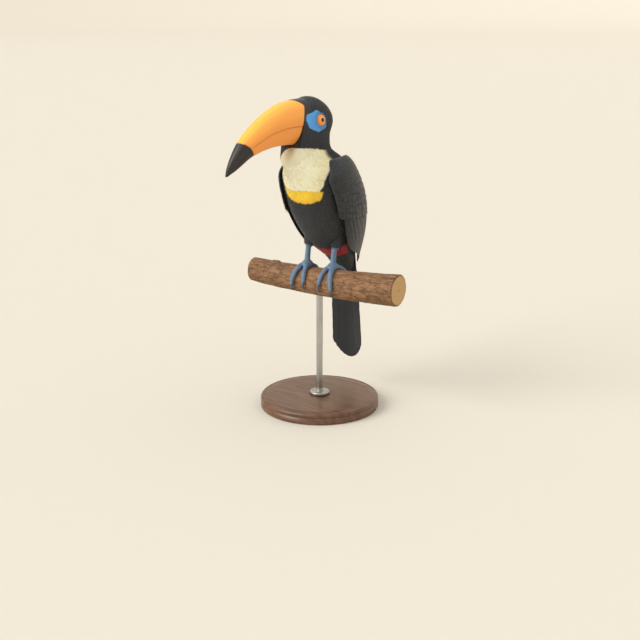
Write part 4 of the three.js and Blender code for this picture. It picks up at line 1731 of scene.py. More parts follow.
@dataclass
class Wing:
    """A folded wing: a firm bed, rows of coverts that grow down the shoulder, and long flight feathers."""

    DOWN = np.array((0.0, 0.12, -0.993))  # the way the flight feathers hang

    form: BodyForm
    side: Side
    shoulder: float = 7.2  # ribs
    tip: float = 14.1
    start_angle: float = 98.0  # degrees round the body from the breast
    front_angle: float = 66.0
    back_angle: float = 172.0
    end_angle: float = 134.0
    front_opens: float = 0.16
    back_opens: float = 0.22
    front_closes: float = 0.62
    back_closes: float = 0.78
    lift: float = 10.0
    mid_lift: float = 14.0
    tip_lift: float = 6.0
    edge_drop: float = 3.0
    shoulder_round: float = 0.085  # share of the length over which the wing rises out of the coat
    thick: float = 11.0
    tip_thick: float = 4.0
    edge_share: float = 0.25
    bed_inset: Pair = (5.2, 4.4)  # how far the bed lies under the outside, front and back
    quills: int = 16  # flight feathers that show
    quill_thick: float = 0.7
    tip_fall: float = 15.0  # how far the stiff tips of the longest ones hang past the form
    first_rows: tuple[Pair, ...] = ((0.003, 0.014), (0.011, 0.015))  # place along and step
    row_start: Pair = (0.022, 0.017)  # the same for the row that the others follow on
    row_growth: float = 1.085
    covert_end: float = 0.385
    covert_front: float = -1.12  # the coverts wrap a little round both edges
    covert_back: float = 0.96
    covert_bow: float = 0.05  # how far the middle of a row lies below its ends
    covert_reach: float = 2.8  # a covert's length in rows
    covert_width: float = 1.9  # its width in places of its row
    length: float = 190.0  # the wing's length in millimetres
    edge_start: float = 0.008  # where the small feathers along the opening edges begin
    edge_length: float = 10.5
    edge_width: float = 7.0
    # The rows of those feathers: where across, how far along, and how many.
    edge_rows: tuple[tuple[float, float, int], ...] = (
        (-1.04, 0.2, 30),
        (-0.92, 0.16, 22),
        (0.93, 0.27, 32),
        (0.83, 0.22, 26),
    )

    def edges(self, along: Array) -> tuple[Array, Array]:
        """The angles of both edges, in degrees: they leave the shoulder's angle and meet at the tip's.

        Args:
            along: Places from the shoulder, 0, to the tip, 1.

        Returns:
            The angles of the front edge and of the back edge.
        """
        front_open = (1.0 - np.clip(along / self.front_opens, 0, 1)) ** 2
        back_open = (1.0 - np.clip(along / self.back_opens, 0, 1)) ** 2
        front_close = ramp(along, self.front_closes, 1.0) ** 1.25
        back_close = ramp(along, self.back_closes, 1.0) ** 1.5
        front = mix(mix(self.front_angle, self.start_angle, front_open), self.end_angle, front_close)
        back = mix(mix(self.back_angle, self.start_angle, back_open), self.end_angle, back_close)
        return front, back

    def point(self, along: Array, across: Array, inset: Array = 0.0) -> Array:
        """A point of the wing's outside, moved in by inset.

        Along runs from 0 at the shoulder to 1 at the tip, and across from -1 at the front edge to 1 at the
        back edge. The outside stands off the body by a lift that rises at the shoulder as a quarter circle
        does, swells in the middle and drops by across to the fourth power.

        Args:
            along: Places from the shoulder to the tip.
            across: Places from the front edge to the back edge.
            inset: How far in from the outside, in millimetres.

        Returns:
            Points in millimetres.
        """
        along, across, inset = np.broadcast_arrays(np.clip(along, 0.0, 1.0), across, inset)
        front, back = self.edges(along)
        angle = np.radians(mix(front, back, (across + 1.0) / 2.0))
        swell = ramp(along, 0.0, 0.5) * (1.0 - ramp(along, 0.6, 1.0))
        ends = mix(self.lift, self.tip_lift, ramp(along, 0.55, 1.0))
        rise = np.sqrt(1.0 - (1.0 - np.clip(along / self.shoulder_round, 0.0, 1.0)) ** 2)
        lift = mix(ends, self.mid_lift, swell) * rise - self.edge_drop * np.clip(across, -1.2, 1.2) ** 4
        return self.form.point(mix(self.shoulder, self.tip, along), self.side.value * angle, lift - inset)

    def surface(self, along: Array, across: Array) -> tuple[Array, Array]:
        """Points of the wing's outside and its outward normals, by differences along and across.

        Args:
            along: Places from the shoulder to the tip.
            across: Places from the front edge to the back edge.

        Returns:
            Points and normals.
        """
        step = 2e-3
        near = np.clip(along, step, 1.0 - step)
        wide = np.broadcast_to(np.clip(across, -1.15, 1.15), np.broadcast(along, across).shape)
        down = self.point(near + step, wide) - self.point(near - step, wide)
        beside = self.point(near, wide + step) - self.point(near, wide - step)
        return self.point(along, wide), unit(np.cross(down, beside)) * self.side.value

    def covers(self, rib: Array, angle: Array) -> Array:
        """Whether a place on the body is well under a folded wing.

        Args:
            rib: Rib numbers.
            angle: Angles round the body from the breast.

        Returns:
            True where no body feather would be seen.
        """
        along = (rib - self.shoulder) / (self.tip - self.shoulder)
        front, back = self.edges(np.clip(along, 0.0, 1.0))
        degrees = np.degrees(np.abs(wrapped(angle)))
        across = 2.0 * (degrees - front) / np.maximum(back - front, 1e-6) - 1.0
        return (along > 0.1) & (along < 0.9) & (np.abs(across) < 0.72)

    def bed(self) -> Shell:
        """The wing's firm inside: a closed lens between the outside moved in and the wing's inner face.

        Returns:
            The closed shell.
        """
        along = mix(0.0, 0.86, np.linspace(0.0, 1.0, 84) ** 1.25)[:, None]
        around = np.linspace(0.0, 1.0, 72, endpoint=False)[None]
        outside = around < 0.5
        across = np.where(outside, 4.0 * around - 1.0, 3.0 - 4.0 * around)
        across = across * mix(0.97, 0.8, ramp(along, 0.3, 0.6))
        thick = mix(self.thick, self.tip_thick, along) * mix(1.0, self.edge_share, across**8)
        under = mix(2.2, mix(*self.bed_inset, (across + 1.0) / 2.0), ramp(along, 0.3, 0.5))
        inset = np.where(outside, np.minimum(under, thick - 0.8), np.maximum(thick, under + 0.8))
        points = self.point(along, across, inset)
        shape = points.shape[:2]
        vane = np.broadcast_to((0.3, 0.5, 0.3), (*shape, 3))
        layers = {"vane": vane, "tint": Markings.black(shape, 0.7), BAKE_MAP: together(around * 0.2, along)}
        return closed_loft(points, layers)

    def coverts(self, rng: Chance) -> Shell:
        """Rows of coverts, each longer than the one above and lying over the roots of the next.

        Args:
            rng: The source of chance.

        Returns:
            The shell of the coverts.
        """
        rows = [*self.first_rows]
        at, step = self.row_start
        while at < self.covert_end:
            rows.append((at, step))
            at += step
            step *= self.row_growth
        alongs, acrosses, lengths, widths = [], [], [], []
        for k, (at, step) in enumerate(rows):
            line = self.point(at, np.linspace(-1, 1, 30))
            span = np.linalg.norm(np.diff(line, axis=0), axis=-1).sum()
            pitch = 2.6 + 12.0 * at
            number = max(int(span / pitch) + 1, 5)
            share = (np.arange(number) + 0.5 * (k % 2)) / (number - 0.5)
            place = mix(self.covert_front, self.covert_back, share)
            place = place + rng.uniform(-0.2, 0.2, number) / number
            bow = self.covert_bow * (1.0 - (place - 0.1) ** 2) * ramp(at, 0.0, 0.3)
            alongs.append(at + bow + rng.uniform(-0.24, 0.24, number) * step)
            acrosses.append(place)
            lengths.append(np.full(number, step * self.length * self.covert_reach))
            widths.append(np.full(number, pitch * self.covert_width))
        for edge, reach, number in self.edge_rows:
            alongs.append(np.linspace(self.edge_start, reach, number))
            acrosses.append(np.full(number, edge))
            lengths.append(np.full(number, self.edge_length))
            widths.append(np.full(number, self.edge_width))
        along, across = np.concatenate(alongs), np.concatenate(acrosses)
        length, width = np.concatenate(lengths), np.concatenate(widths)
        length = length * rng.uniform(0.88, 1.12, len(length))
        low = np.full(len(along), -1.7)
        high = rng.uniform(-0.1, 0.12, len(along)) - 0.5 * (1.0 - ramp(along, 0.0, 0.12))
        yaw = self.side.value * 0.16 * (across < 0.4) + rng.normal(0.0, 0.05, len(along))
        bake = together(0.25 + 0.7 * (across + 1.0) / 2.0, np.clip(along, 0, 1))
        make = VaneMake(
            rows=(0.0, 0.25, 0.5, 0.72, 0.9, 1.0), columns=7, thick=0.35, tip_share=0.16, fray=0.012
        )
        vanes = Vanes(self.surface, Markings.all_black, rng)
        return vanes.lay(make, along, across, length, width, yaw, low, high, bake)

    def flight(self, rng: Chance) -> Shell:
        """The long feathers, each a little under its neighbour towards the back.

        Their tips step down to the wing's point and back up along the front edge. A feather's middle runs
        from its root's place across to its tip's, and its half width is held to a share of the wing's own
        width, closed by a rounded tip.

        Args:
            rng: The source of chance.

        Returns:
            The shell of the flight feathers.
        """
        number = np.arange(self.quills) / (self.quills - 1)
        root_across = mix(0.9, -0.9, number)
        tip_across = np.interp(number, (0.0, 0.45, 0.62, 0.72, 0.85, 1.0), (0.8, 0.78, 0.5, 0.0, -0.45, -0.8))
        end = np.interp(number, (0.0, 0.3, 0.6, 0.74, 0.88, 1.0), (0.68, 0.81, 0.92, 0.952, 0.955, 0.885))
        fall = self.tip_fall * np.interp(number, (0.0, 0.4, 0.75, 1.0), (0.0, 0.3, 0.85, 1.05))
        start = np.full(self.quills, 0.3) + 0.1 * number
        half = np.interp(number, (0.0, 0.5, 1.0), (0.30, 0.25, 0.2))
        s = np.append(np.linspace(0.0, 0.8, 20), (0.86, 0.91, 0.95, 0.98, 0.994, 1.0))[None, :, None]
        t = np.linspace(-1.0, 1.0, 11)[None, None]
        past = np.clip((s - 0.84) / 0.16, 0.0, 1.0)
        shape = np.maximum(np.sqrt(1.0 - past**2.4), 0.12)
        along = mix(start[:, None, None], end[:, None, None], s) - 0.012 * t**2 * past
        bend = mix(root_across[:, None, None], tip_across[:, None, None], s**1.4)
        across = bend + t * half[:, None, None] * shape
        across = np.clip(across, -1.02, 1.02)
        layer = -1.0 - 1.6 * number[:, None, None]
        ridge = 0.4 * np.maximum(0.0, 1.0 - np.abs(t) * 6.0)
        lift = layer + ridge - 0.45 * (1.0 - s) - 0.4 * t**2 - 1.05 * t
        notch = noise(together(number[:, None, None] * 90.0, s * 60.0, t * 3.0), 1.0, 9)
        across = across + 0.012 * notch * (np.abs(t) > 0.9)
        points, normals = self.surface(along, across)
        points = points + (fall[:, None, None] * s**2)[..., None] * self.DOWN
        top = points + normals * lift[..., None]
        mid = t.shape[2] // 2
        keel = points[:, :, mid] + normals[:, :, mid] * (lift[:, :, mid] - self.quill_thick)[..., None]
        chance = rng.uniform(0.2, 0.8, (self.quills, 1, 1))
        column = 0.22 + 0.75 * number[:, None, None]
        return long_feathers(top, keel, s, chance, 0.92, column, 0.02, 0.55 + 0.4 * s)

    def build(self, covert: Material, quill: Material) -> list[Piece]:
        """Makes a wing's two pieces: its bed with the coverts, and its flight feathers.

        Args:
            covert: The finish of the coverts.
            quill: The finish of the flight feathers.

        Returns:
            The pieces.
        """
        rng = np.random.default_rng(31 if self.side is Side.LEFT else 32)
        soft = joined([self.bed(), self.coverts(rng)])
        word = self.side.word
        coverts = make_piece(f"wing_coverts_{word}", soft, covert, "plumage", f"wing_{word}")
        flight = make_piece(f"flight_feathers_{word}", self.flight(rng), quill, "plumage")
        return [coverts, flight]


# ------------------------------------------------------------------ tail


@dataclass
class Tail:
    """Ten tail feathers, stacked under the middle pair as a low roof."""

    form: BodyForm
    length: float = 202.0
    top: Pair = (77.0, 52.0)  # y and height over the perch
    end_y: float = 94.0
    width: float = 21.0
    root_share: float = 0.6
    feathers: int = 10
    thick: float = 1.4
    graduation: float = 0.12
    roof: float = 0.35
    fan: float = 0.026
    spread: float = 15.5
    arch: float = 5.0

    def build(self, material: Material) -> Piece:
        """Makes the tail feathers: blades cambered over the shaft, rolled, fanned, spread and tipped back.

        Args:
            material: The finish of the feathers.

        Returns:
            The piece.
        """
        place = (2.0 * np.arange(self.feathers) + 1.0) / self.feathers - 1.0
        length = self.length * (1.0 - self.graduation * place**2)
        s = np.append(np.linspace(0.0, 0.9, 26), (0.925, 0.95, 0.97, 0.985, 0.995, 1.0))[None, :, None]
        t = np.linspace(-1.0, 1.0, 13)[None, None]
        tip = self.width * 0.6
        past = np.clip((s * length[:, None, None] - length[:, None, None] + tip) / tip, 0.0, 1.0)
        body = mix(self.root_share, 1.0, np.clip(s * 2.0, 0.0, 1.0))
        half = self.width / 2 * body * np.maximum(np.sqrt(1.0 - past**2), 0.1)
        notch = noise(together(place[:, None, None] * 70.0, s * 90.0, t * 3.0), 1.0, 4)
        x = t * half + 0.4 * notch * (np.abs(t) > 0.9)
        across = t * np.ones_like(half)
        ridge = 0.25 * np.maximum(0.0, 1.0 - np.abs(across) * 8.0)
        out = self.thick / 2 + ridge - 0.5 * across**2 * ramp(s, 0.0, 0.3)
        down = -s * length[:, None, None] * np.ones_like(x)
        points = together(x, out, down)
        mid = t.shape[2] // 2
        keel = together(0.0, out[:, :, mid] - self.thick, down[:, :, mid])
        top, under = self.placed(points, place[:, None, None]), self.placed(keel, place[:, None])
        chance = np.random.default_rng(5).uniform(0.25, 0.75, (self.feathers, 1, 1))
        column = 0.05 + 0.9 * (place[:, None, None] + 1.0) / 2.0
        shell = long_feathers(top, under, s, chance, 1.0, column, 0.03, 0.03 + 0.9 * s)
        return make_piece("tail_feathers", shell, material, "plumage", "tail")

    def placed(self, points: Array, place: Array) -> Array:
        """Points of an upright blade at its root, moved to the blade's place in the tail.

        A roll about the length, a lean outwards, a shift to the side and forwards by place squared, a tip
        backwards and a shift to the tail's root.

        Args:
            points: Points with the length running down.
            place: From -1 on the right to 1 on the left.

        Returns:
            Points in the bird's own place.
        """
        x, y, z = points[..., 0], points[..., 1], points[..., 2]
        roll, lean = -place * self.roof, -place * self.fan
        x, y = x * np.cos(roll) - y * np.sin(roll), x * np.sin(roll) + y * np.cos(roll)
        x, z = x * np.cos(lean) + z * np.sin(lean), -x * np.sin(lean) + z * np.cos(lean)
        x, y = x + place * self.spread, y - self.arch * place**2
        back = math.atan2(self.end_y - self.top[0], self.length)
        y, z = y * math.cos(back) - z * math.sin(back), y * math.sin(back) + z * math.cos(back)
        return together(x, y + self.top[0], z + self.top[1] + self.form.perch_height)


# ------------------------------------------------------------------ bill, eyes and claws


class Bill:
    """The two halves of the bill, as surfaces between a ridge line and a keel line."""

    # Stations from the root to the tip: ridge and keel as y and height over the perch, and half width.
    STATIONS = np.array(
        [
            (-36, 285.5, -50, 217.5, 21.5),
            (-60, 283.3, -72, 219, 21),
            (-82, 278.3, -94, 217.4, 19.8),
            (-104, 268, -111, 214.2, 18),
            (-124, 254.8, -126, 209.4, 15.8),
            (-141.5, 240.5, -139, 203.8, 13.2),
            (-156, 225, -151, 195.6, 10.4),
            (-167, 208, -162.5, 187.6, 7.3),
            (-174.5, 193, -170.5, 183, 4),
            (-177.5, 182.5, -176, 181, 1.2),
        ],
        float,
    )
    LOWER_SHARE = 0.42
    ARCH_SHARE = 0.72
    LOWER_END = 0.93
    LOWER_WIDTH = 0.97
    TIP_HALF = 0.6
    GAP = 0.3
    BLACK_RIDGE = np.array((-154.0, 227.5))  # where the black tip begins on the ridge and on the keel
    BLACK_KEEL = np.array((-134.5, 206.0))
    BLACK_BULGE = 4.5  # how far its border bows towards the root
    RINGS, SIDES = 200, 132
    LENGTH = 165.0  # along the cutting edge, in millimetres
    TOOTH, TOOTH_DEPTH = 5.2, 0.75
    ROOT_RINGS = 70  # rings that may lie near the plumage

    def __init__(self, form: BodyForm) -> None:
        """Keeps the form, which says where the plumage ends on the bill."""
        self.form = form

    def half_bill(self, upper: bool) -> tuple[Array, Array, Array]:
        """The surface of one half of the bill, before the head turns.

        Round a section, the first part of the ring arches over the outside: x goes by cos(angle) to the
        power 0.8 and the rise from cutting edge to ridge by sin(angle) to the power 0.85. The rest runs flat
        across the cutting edge. The upper half has a shallow groove under the ridge and small teeth.

        Args:
            upper: Whether it is the upper half.

        Returns:
            Points, the place along and the rise, negative on the lower half, all by ring and side.
        """
        s = np.linspace(0.0, 1.0, self.RINGS)[:, None] ** 0.94
        around = np.linspace(0.0, 1.0, self.SIDES, endpoint=False)[None]
        t = s if upper else s * self.LOWER_END
        last = len(self.STATIONS) - 1
        station = spline(self.STATIONS, t * last)
        ridge, keel = station[..., 0:2], station[..., 2:4]
        edge = mix(keel, ridge, self.LOWER_SHARE * (1.0 - t[..., None] ** 5))
        outer = ridge if upper else keel
        closing = 1.0 if upper else np.maximum((1.0 - s**10) ** 0.6, 0.04)
        half = np.maximum(self.TIP_HALF, station[..., 4] * closing * (1.0 if upper else self.LOWER_WIDTH))
        angle = math.pi * np.minimum(1.0, around / self.ARCH_SHARE)
        flat = np.maximum(0.0, (around - self.ARCH_SHARE) / (1.0 - self.ARCH_SHARE))
        sweep = np.where(flat > 0, mix(-1.0, 1.0, flat), signed_power(np.cos(angle), 0.8))
        rise = np.where(flat > 0, 0.0, closing * np.maximum(np.sin(angle), 0.0) ** 0.85)
        fade = ramp(s, 0.02, 0.2) * (1.0 - ramp(s, 0.6, 0.9))
        groove = 0.5 * bell(rise, 0.86, 0.06) * fade if upper else 0.0
        x = half * sweep - np.sign(sweep) * groove
        away = unit(outer - edge)
        teeth = np.zeros_like(x)
        if upper:
            run = self.LENGTH * s + 1.4 * np.sin(37.0 * s)
            saw = (run / self.TOOTH) % 1.0
            notch = saw**2 * (1.0 - ramp(saw, 0.9, 1.0))
            teeth = self.TOOTH_DEPTH * notch * bell(rise, 0.0, 0.05) * ramp(s, 0.2, 0.3)
            teeth = teeth * (1.0 - ramp(s, 0.78, 0.88)) * (flat <= 0)
        at = mix(edge, outer, rise[..., None]) + away * (self.GAP / 2 + teeth)[..., None]
        points = together(x, at[..., 0], at[..., 1] + self.form.perch_height)
        shape = points.shape[:2]
        return points, np.broadcast_to(s, shape), np.broadcast_to(rise if upper else -rise, shape)

    def black(self, points: Array) -> Array:
        """How far points lie beyond the black tip's border, in millimetres, before the head turns.

        Args:
            points: Points of the bill, before the head turns.

        Returns:
            Distances, negative towards the root.
        """
        flat = points[..., 1:] - (0.0, self.form.perch_height)
        along = self.BLACK_RIDGE - self.BLACK_KEEL
        length = np.linalg.norm(along)
        along = along / length
        beyond = np.array((-along[1], along[0]))
        beyond = beyond * np.sign(beyond @ np.array((-1.0, -1.0)))
        offset = flat - (self.BLACK_RIDGE + self.BLACK_KEEL) / 2
        place = np.clip((offset @ along) / (length / 2), -1.2, 1.2)
        return offset @ beyond + self.BLACK_BULGE * (1.0 - place**2)

    def clear_of(self, rib: Array, points: Array) -> Array:
        """Whether points of the body's form, at those ribs, lie outside the bill.

        Args:
            rib: The points' ribs.
            points: Points in millimetres.

        Returns:
            True where a feather may grow.
        """
        keep = np.ones(len(points), bool)
        for upper in (True, False):
            grid = self.form.head_turned(self.half_bill(upper)[0][:90:2, ::2])
            down = np.roll(grid, -1, axis=0) - grid
            around = np.roll(grid, -1, axis=1) - grid
            normals = unit(np.cross(down, around))[:-1]
            samples, flat = grid[:-1].reshape(-1, 3), normals.reshape(-1, 3)
            middle = samples.mean(0)
            flat = flat * np.sign(((samples - middle) * flat).sum())
            keep &= clearance(points, samples, flat) > -0.2
        return keep | (rib > 2.0)

    def build(self, material: Material) -> list[Piece]:
        """Makes both halves.

        Args:
            material: The finish of the horn.

        Returns:
            The pieces.
        """
        rib, angle = np.meshgrid(np.linspace(0.0, 2.5, 60), turns(100))
        samples, normals = (values.reshape(-1, 3) for values in self.form.surface(rib, angle))
        pieces = []
        for upper in (True, False):
            points, run, rise = self.half_bill(upper)
            turned = self.form.head_turned(points)
            rear = np.full(turned.shape[:2], 99.0)
            near = self.ROOT_RINGS
            rear[:near] = clearance(turned[:near].reshape(-1, 3), samples, normals).reshape(near, -1)
            horn = together(rise, self.black(points), rear)
            shell = closed_loft(turned, {"horn": horn, "run": run[..., None]})
            name = "bill_upper" if upper else "bill_lower"
            pieces.append(make_piece(name + "_horn", shell, material, "bill", name))
        return pieces


@dataclass
class Eye:
    """An eyeball with a clear bulge in front."""

    seat: EyeSeat
    bulge: float = 0.45

    def build(self, material: Material) -> Piece:
        """Makes the eye: circles of radius sin(angle) at heights cos(angle) times flat, with a bump in front.

        Args:
            material: The finish of the eye.

        Returns:
            The piece.
        """
        polar = np.linspace(0.01, math.pi - 0.01, 60)[:, None]
        turn = turns(72)[None]
        radius, axis = self.seat.radius, self.seat.axis
        rise = radius * np.cos(polar) * self.seat.flat + self.bulge * (bell(polar, 0.0, 0.5) - 1.0)
        side = unit(np.cross(axis, (0.0, 0.0, 1.0)))
        up = np.cross(side, axis)
        out = radius * np.sin(polar)
        points = self.seat.middle + rise[..., None] * axis
        points = points + (out * np.cos(turn))[..., None] * side + (out * np.sin(turn))[..., None] * up
        shown = np.where(polar < math.pi / 2, out, self.seat.radius + out * 0.0)
        disc = together(shown, np.cos(turn), np.sin(turn))
        shell = closed_loft(points, {"disc": disc})
        word = self.seat.side.word
        return make_piece(f"eyeball_{word}", shell, material, "eye", f"eye_{word}")


@dataclass
class Claws:
    """The claws, which bow away from the perch before their tips come back to it."""

    form: BodyForm
    degrees: float = 33.0
    overlap: float = 3.0
    root_radius: float = 2.9
    tip_radius: float = 0.5
    arch: float = 2.2
    flatness: float = 0.8

    def build(self, material: Material) -> list[Piece]:
        """Makes the claws: tubes along the toe's own winding, with a radius that falls by s to the power 0.8.

        Args:
            material: The finish of the claws.

        Returns:
            The eight pieces.
        """
        pieces = []
        s = np.linspace(0.0, 1.0, 30)
        radius = mix(self.root_radius, self.tip_radius, s**0.8)
        off = (radius + self.arch * np.sin(math.pi * s**0.8)) / Leg.press
        for side in Side:
            leg = Leg(self.form, side)
            for digit in leg.digits:
                path = leg.toe_path(digit, digit.reach - self.overlap + s * self.degrees, off)
                grid = tube(path, radius * self.flatness, radius, 26)
                shell = closed_loft(grid, {"run": np.broadcast_to(s[:, None, None], (30, 26, 1))})
                name = f"claw_{side.word}_{digit.name}"
                pieces.append(make_piece(name + "_horn", shell, material, "claw", name))
        return pieces


# ------------------------------------------------------------------ perch and stand


@dataclass
class Perch:
    """A short cut branch with bark and two sawn ends."""

    form: BodyForm
    bark_depth: float = 0.95
    bevel: float = 1.6
    rings: int = 300
    sides: int = 150

    RADIUS = 22.0  # at the bird
    TAPER = 0.02  # it thickens by this much for each millimetre to the bird's left
    BOW = 4.0  # how far its right end bows up
    KNOTS = ((-88.0, 1.1, 8.0), (96.0, 2.3, 10.0), (58.0, 5.2, 7.0))  # place along, angle round, size
    CAP_RINGS = 16  # rings across each sawn end

    @staticmethod
    def ends() -> Pair:
        """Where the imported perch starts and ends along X."""
        low, high = node_box("perch")
        return float(low[0]), float(high[0])

    @classmethod
    def radius_at(cls, x: Array) -> Array:
        """The branch's radius."""
        return cls.RADIUS + cls.TAPER * np.asarray(x, float)

    @classmethod
    def rise_at(cls, x: Array) -> Array:
        """How far the branch's middle has bowed up, by the square of the place along."""
        return cls.BOW * (np.asarray(x, float) / cls.ends()[0]) ** 2

    @classmethod
    def middle_height(cls) -> float:
        """Height of the branch's middle under the bird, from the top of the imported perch's thick end."""
        end = cls.ends()[1]
        return float(node_box("perch")[1][2] - cls.radius_at(end) - cls.rise_at(end))

    def build(self, material: Material) -> Piece:
        """Makes the branch.

        Rings run from the middle of one sawn end out to its rim, along the bark and back in to the other's
        middle. The bark's radius loses a ridged noise that is stretched along the branch, and gains knots.

        Args:
            material: The finish of the bark and the sawn ends.

        Returns:
            The piece.
        """
        left, right = self.ends()
        caps = self.CAP_RINGS
        cap = np.linspace(0.02, 1.0, caps + 1)[:-1]
        run = np.concatenate([np.zeros(caps), np.linspace(0.0, 1.0, self.rings), np.ones(caps)])
        share = np.concatenate([cap, np.ones(self.rings), cap[::-1]])[:, None]
        sawn = np.concatenate([np.ones(caps), np.zeros(self.rings), np.ones(caps)])[:, None]
        x = mix(left, right, run)[:, None]
        angle = turns(self.sides)[None]
        radius = self.radius_at(x)
        # the bark's pattern lies on a plain cylinder, so that it keeps its size along the taper
        beside, up = self.RADIUS * np.cos(angle), self.RADIUS * np.sin(angle)
        spot = together(x * 0.16, beside, up)
        warped = spot + 1.2 * noise(spot, 7.0, 2)[..., None]
        ridges = np.abs(noise(warped, 3.4, 3)) ** 0.7 + 0.35 * np.abs(noise(warped, 1.7, 4))
        fine = layered_noise(spot * (4.0, 1.0, 1.0), 2.0, 8)
        depth = 1.0 - np.clip(ridges * 1.5, 0.0, 1.0)
        under_foot = 1.0 - 0.75 * (ramp(np.abs(x), 44.0, 36.0))
        drop = -self.bark_depth * depth * under_foot + 0.28 * fine * under_foot
        drop = drop + 0.5 * noise(together(x, beside, up), 26.0, 6) * under_foot
        for place, around, size in self.KNOTS:
            apart = wrapped(angle - around)
            out = np.sqrt((x - place) ** 2 + (apart * self.RADIUS) ** 2) / size
            drop = drop + 2.0 * bell(out, 0.55, 0.3) - 1.2 * bell(out, 0.0, 0.3)
        edge = np.minimum(x - left, right - x)
        bevel = self.bevel * (1.0 - np.clip(edge / self.bevel, 0.0, 1.0)) ** 2
        rim = np.clip(np.arange(len(run)), caps, len(run) - 1 - caps)
        out = share * (radius + drop[rim] - bevel)
        beside, up = out * np.cos(angle), out * np.sin(angle)
        checks = np.where(sawn > 0, 0.3 * noise(together(beside, up, x), 2.0, 4), 0.0)
        height = self.form.perch_height + self.rise_at(x)
        points = together(x + checks * (1 - share), beside, height + up)
        # the grooves' depth goes to the finish, which darkens the bark with it, partly as painted shade
        cut = together(sawn, out, depth * under_foot)
        shell = closed_loft(points, {"cut": cut})
        return make_piece("branch", shell, material, "bark", "perch")


@dataclass
class Stand:
    """The display stand: a turned hardwood base, a steel rod and the flange that holds it."""

    base_edge: float = 4.0
    flange_edge: float = 1.5
    screw_ring: float = 11.2
    screw_radius: float = 1.9

    @staticmethod
    def lathe(profile: Sequence[Pair], sides: int) -> Shell:
        """A profile of radius and height turned into a closed shell."""
        return closed_loft(revolved(profile, sides))

    @staticmethod
    def arc(
        radius: float, height: float, size: float, start: float, end: float, steps: int = 8
    ) -> list[Pair]:
        """Points of a rounded corner whose circle's middle is at that radius and height.

        Args:
            radius: Radius of the circle's middle.
            height: Its height.
            size: The circle's own radius.
            start: First angle, in degrees.
            end: Last angle.
            steps: Number of points.

        Returns:
            Points as radius and height.
        """
        turn = np.radians(np.linspace(start, end, steps))
        return [(radius + size * math.cos(a), height + size * math.sin(a)) for a in turn]

    def build(self, wood: Material, steel: Material) -> list[Piece]:
        """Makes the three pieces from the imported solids' sizes.

        Args:
            wood: The base's finish.
            steel: The finish of the rod and the flange.

        Returns:
            The pieces.
        """
        pieces = []
        low, high = node_box("stand_base")
        radius, top, edge = float(high[0]), float(high[2]), self.base_edge
        profile = [(0.5, 0.0), (radius * 0.5, 0.0), (radius - 3.0, 0.0)]
        profile += self.arc(radius - 1.6, 1.6, 1.6, -90, 0)
        notch = ((0.0, 4.2), (0.5, 3.9), (0.5, 3.3), (0.0, 3.0))  # how far in and how far down
        groove = ((1.0, 0.0), (1.5, 0.4), (2.1, 0.4), (2.6, 0.0))
        profile += [(radius - in_by, top - edge - down) for in_by, down in notch]
        profile += self.arc(radius - edge, top - edge, edge, 0, 90, 12)
        profile += [(radius - edge - in_by, top - down) for in_by, down in groove]
        profile += [(radius * share, top) for share in (0.85, 0.7, 0.5, 0.3, 0.01)]
        pieces.append(make_piece("base_turned", self.lathe(profile, 160), wood, "base_wood", "stand_base"))
        low, high = node_box("stand_rod")
        radius, foot, head = float(high[0]), float(low[2]), float(high[2])
        profile = [(0.1, foot)] + self.arc(radius - 0.6, foot + 0.6, 0.6, -90, 0, 5)
        profile += [(radius, foot + (head - foot) * share) for share in (0.25, 0.5, 0.75)]
        profile += self.arc(radius - 0.6, head - 0.6, 0.6, 0, 90, 5) + [(0.1, head)]
        pieces.append(make_piece("rod_steel", self.lathe(profile, 64), steel, "rod", "stand_rod"))
        low, high = node_box("stand_flange")
        radius, foot, head, edge = float(high[0]), float(low[2]), float(high[2]), self.flange_edge
        profile = [(0.1, foot), (radius - 0.5, foot), (radius, foot + 0.5)]
        profile += self.arc(radius - edge, head - edge, edge, 0, 90, 8)
        profile += [(7.8, head), (7.4, head - 0.25), (7.0, head), (0.1, head)]
        shells = [self.lathe(profile, 120)]
        shells += [self.screw(math.radians(90 + 120 * k), head) for k in range(3)]
        pieces.append(make_piece("flange_steel", joined(shells), steel, "rod", "stand_flange"))
        return pieces

    def screw(self, turn: float, height: float) -> Shell:
        """A low round screw head with a sunk socket, on the flange's screw ring.

        Args:
            turn: Its angle round the rod, in radians.
            height: Height of the flange's face.

        Returns:
            The closed shell.
        """
        r = self.screw_radius
        profile = [(0.05, height - 0.6), (r, height - 0.6), (r, height + 0.25)]
        profile += [(r * 0.8, height + 0.6), (r * 0.5, height + 0.62)]
        profile += [(r * 0.42, height + 0.1), (0.05, height + 0.1)]
        shell = self.lathe(profile, 24)
        shell.points = shell.points + self.screw_ring * np.array((math.cos(turn), math.sin(turn), 0.0))
        return shell


# ------------------------------------------------------------------ studio


